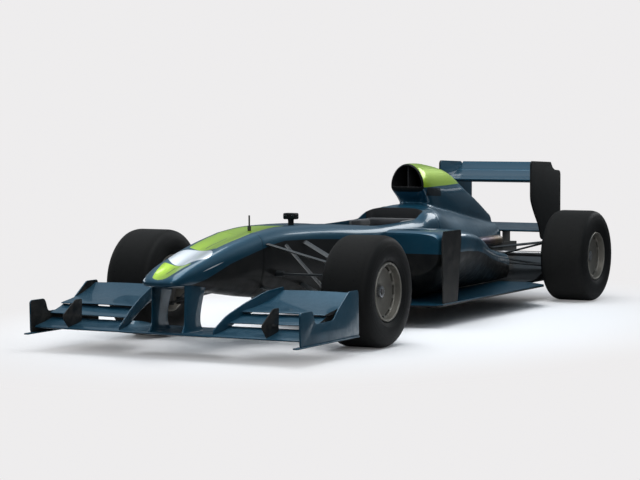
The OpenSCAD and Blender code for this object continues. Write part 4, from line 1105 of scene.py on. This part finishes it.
wheel_magnesium = alloy.feed(
    base_color=alloy.blend(brake_dust * 0.6, (0.250, 0.235, 0.205, 1), (0.085, 0.078, 0.068, 1)),
    metallic=0.85 - brake_dust * 0.25, roughness=0.36 + alloy.noise(60.0, 4.0) * 0.14 + brake_dust * 0.2,
    normal=alloy.bump(turning * 0.5 + alloy.noise(350.0) * 0.2, 0.2, 0.0006))
nut = Finish("nut_anodised", {"Coat Weight": 0.2})
nut_anodised = nut.feed(
    base_color=nut.blend(nut.noise(40.0), (0.42, 0.43, 0.45, 1), (0.30, 0.31, 0.33, 1)),
    metallic=0.98 - nut.noise(80.0) * 0.08, roughness=0.22 + nut.noise(120.0) * 0.15,
    normal=nut.bump(nut.noise(300.0), 0.1, 0.0004))
TYRE_R, RIM_R = front_high.z - AXLE_Z, 0.176
HUB_FACE, HUB_BACK = 0.083, 0.124
SLOTS, SLOT_IN, SLOT_OUT = 12, 0.030, 0.018


def ring_of(name, outline, material, corner, count=144):
    """A turned ring on a closed outline of (radius, outwards), its corners rounded, about X."""
    return turned(name, rounded(outline, corner, 4), material, count, "X", True)


for corner_name, tyre_node, body, bore in (
        ("front_left", "front_left_tyre", "wheel_front_left", 0.0222),
        ("front_right", "front_right_tyre", "wheel_front_right", 0.0222),
        ("rear_left", "rear_left_tyre", "wheel_rear_left", 0.0202),
        ("rear_right", "rear_right_tyre", "wheel_rear_right", 0.0202)):
    low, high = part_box(tyre_node)
    middle, half = (low + high) / 2, (high.x - low.x) / 2
    side = 1 if middle.x > 0 else -1
    place = Matrix.Translation(middle) @ Matrix.Rotation(0 if side > 0 else math.pi, 4, "Z")
    edge = [(RIM_R, half - 0.024), (0.196, half - 0.009), (0.226, half), (0.266, half - 0.001),
            (0.302, half - 0.012),
            (0.322, half - 0.031), (TYRE_R, half - 0.060)]
    outline = edge + [(r, -a) for r, a in reversed(edge)]
    tyre = ring_of(corner_name + "_slick", outline, tyre_rubber, 0.024)
    face = [(RIM_R, -half + 0.024), (RIM_R, half - 0.024), (RIM_R - 0.005, half - 0.015),
            (RIM_R - 0.014, half - 0.017),
            (RIM_R - 0.016, half - 0.060), (RIM_R - 0.032, half - 0.069), (0.062, half - 0.079),
            (0.044, half - HUB_FACE), (bore, half - HUB_FACE), (bore, half - HUB_BACK),
            (0.044, half - HUB_BACK),
            (0.066, half - 0.096), (RIM_R - 0.032, half - 0.083), (RIM_R - 0.011, half - 0.088),
            (RIM_R - 0.011, -half + 0.024)]
    rim = ring_of("rim", face, wheel_magnesium, 0.006, 120)
    tools = []
    for k in range(SLOTS):
        turns = [math.tau * k / SLOTS + math.radians(b) for b in (-11, -5.5, 0, 5.5, 11)]
        hole = [((RIM_R - SLOT_IN) * math.cos(a), (RIM_R - SLOT_IN) * math.sin(a)) for a in turns]
        hole += [((RIM_R - SLOT_OUT) * math.cos(a), (RIM_R - SLOT_OUT) * math.sin(a))
                 for a in reversed(turns)]
        tools.append(put_right(prism(hole, half - HUB_BACK, half - 0.016)))
        tools[-1].data.transform(Matrix.Rotation(math.pi / 2, 4, "Y"))
    carved(rim, *tools)
    eased(rim, 0.0016, 2, 50)
    dressed(rim, wheel_magnesium, 38)
    lobes = []
    for k in range(72):
        a = math.tau * k / 72
        radius = 0.0345 if k % 6 < 3 else 0.0305
        lobes.append((radius * math.cos(a), radius * math.sin(a)))
    castle = put_right(prism(lobes, half - HUB_FACE + 0.0005, half - HUB_FACE + 0.022))
    carved(castle, turned("tool", [(0.0178, half - 0.1), (0.0178, half + 0.1)], None, 40))
    castle.data.transform(Matrix.Rotation(math.pi / 2, 4, "Y"))
    dressed(eased(castle, 0.0012, 2, 50), nut_anodised)
    wheel = joined(corner_name + "_wheel", [rim, castle])
    for made, slot_name, node in ((tyre, "tyre_rubber", tyre_node),
                                  (wheel, "wheel_alloy", tyre_node.replace("tyre", "rim"))):
        made.matrix_world = place
        shown(made, body, slot_name, node)

# ---------------------------------------------------------------- stage, lights and camera
# The car stands on a plain pale floor that runs out into an even pale background, under a large soft
# light from above and weaker ones from the sides. None of this is part of the car.
ground = Finish("stage_floor", {"Roughness": 0.9, "Specular IOR Level": 0.1})
pale = ground.feed(base_color=ground.blend(ground.noise(0.6), (0.80, 0.795, 0.80, 1), (0.82, 0.815, 0.82, 1)))
far = ground.node("ShaderNodeEmission", {}, {"Color": (0.855, 0.845, 0.85, 1), "Strength": 1.0})
black = ground.node("ShaderNodeEmission", {}, {"Color": (0.05, 0.055, 0.06, 1), "Strength": 1.0})
seen = ground.node("ShaderNodeLightPath", {}, {}, "Is Camera Ray")
edge = ground.node("ShaderNodeMixShader", {}, {0: seen, 1: black, 2: far})
spread = ((ground.x * ground.x * 1.0 + ground.y * ground.y * 0.45) ** 0.5)
fade = ground.node("ShaderNodeMapRange", {"interpolation_type": "SMOOTHSTEP"},
                   {"Value": spread, "From Min": 1.0, "From Max": 2.6})
near = Flow(ground, ground.shader.outputs[0])
both = ground.node("ShaderNodeMixShader", {}, {0: fade, 1: near, 2: edge})
ground.tree.links.new(both.socket, ground.tree.nodes["Material Output"].inputs["Surface"])
floor_disc = piece("stage_floor", [(60 * math.cos(a * math.tau / 64), 60 * math.sin(a * math.tau / 64), 0)
                                   for a in range(64)], [tuple(range(64))], pale)
floor_disc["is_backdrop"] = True

sky = bpy.data.worlds.new("studio")
bpy.context.scene.world = sky
sky.use_nodes = True
tree = sky.node_tree
backing = tree.nodes["Background"]
backing.inputs["Color"].default_value = (0.855, 0.845, 0.85, 1)
lighting = tree.nodes.new("ShaderNodeBackground")
direction = tree.nodes.new("ShaderNodeTexCoord")
split = tree.nodes.new("ShaderNodeSeparateXYZ")
ramp = tree.nodes.new("ShaderNodeValToRGB")
ramp.color_ramp.elements[0].position, ramp.color_ramp.elements[0].color = 0.02, (0.05, 0.055, 0.06, 1)
ramp.color_ramp.elements[1].position, ramp.color_ramp.elements[1].color = 0.85, (0.50, 0.60, 0.69, 1)
tree.links.new(direction.outputs["Generated"], split.inputs[0])
tree.links.new(split.outputs["Z"], ramp.inputs[0])
tree.links.new(ramp.outputs[0], lighting.inputs["Color"])
path = tree.nodes.new("ShaderNodeLightPath")
choose = tree.nodes.new("ShaderNodeMixShader")
tree.links.new(path.outputs["Is Camera Ray"], choose.inputs[0])
tree.links.new(lighting.outputs[0], choose.inputs[1])
tree.links.new(backing.outputs[0], choose.inputs[2])
tree.links.new(choose.outputs[0], tree.nodes["World Output"].inputs["Surface"])

for name, place, target, size, power in (
        ("overhead", (0.5, -0.5, 5.2), (0, 0, 0), (3.2, 6.5), 260),
        ("front_left", (4.5, -6.5, 3.6), (0, -0.6, 0.4), (3.0, 2.0), 75),
        ("far_side", (-5.5, -1.0, 2.8), (0, 0, 0.5), (5.0, 1.4), 120),
        ("behind", (2.0, 6.5, 3.4), (0, 1.0, 0.5), (4.0, 1.6), 90)):
    lamp = bpy.data.lights.new(name, "AREA")
    lamp.shape, lamp.size, lamp.size_y, lamp.energy = "RECTANGLE", size[0], size[1], power
    held = bpy.data.objects.new(name, lamp)
    held.location = place
    held.rotation_euler = (Vector(target) - Vector(place)).to_track_quat("-Z", "Y").to_euler()
    bpy.context.scene.collection.objects.link(held)

AZIMUTH, FALL, ROLL = math.radians(27.94), math.radians(3.46), math.radians(-0.15)
lens = bpy.data.cameras.new("camera")
lens.sensor_width, lens.lens = 36.0, 117.04
lens.clip_start, lens.clip_end = 0.1, 200.0
camera = bpy.data.objects.new("camera", lens)
bpy.context.scene.collection.objects.link(camera)
look = Vector((-math.sin(AZIMUTH) * math.cos(FALL), math.cos(AZIMUTH) * math.cos(FALL), -math.sin(FALL)))
camera.rotation_mode = "QUATERNION"
camera.rotation_quaternion = look.to_track_quat("-Z", "Y") @ Matrix.Rotation(ROLL, 4, "Z").to_quaternion()
camera.location = (6.200, -12.322, 1.367)
bpy.context.scene.camera = camera
bpy.context.scene.view_settings.view_transform = "Standard"

low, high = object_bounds()
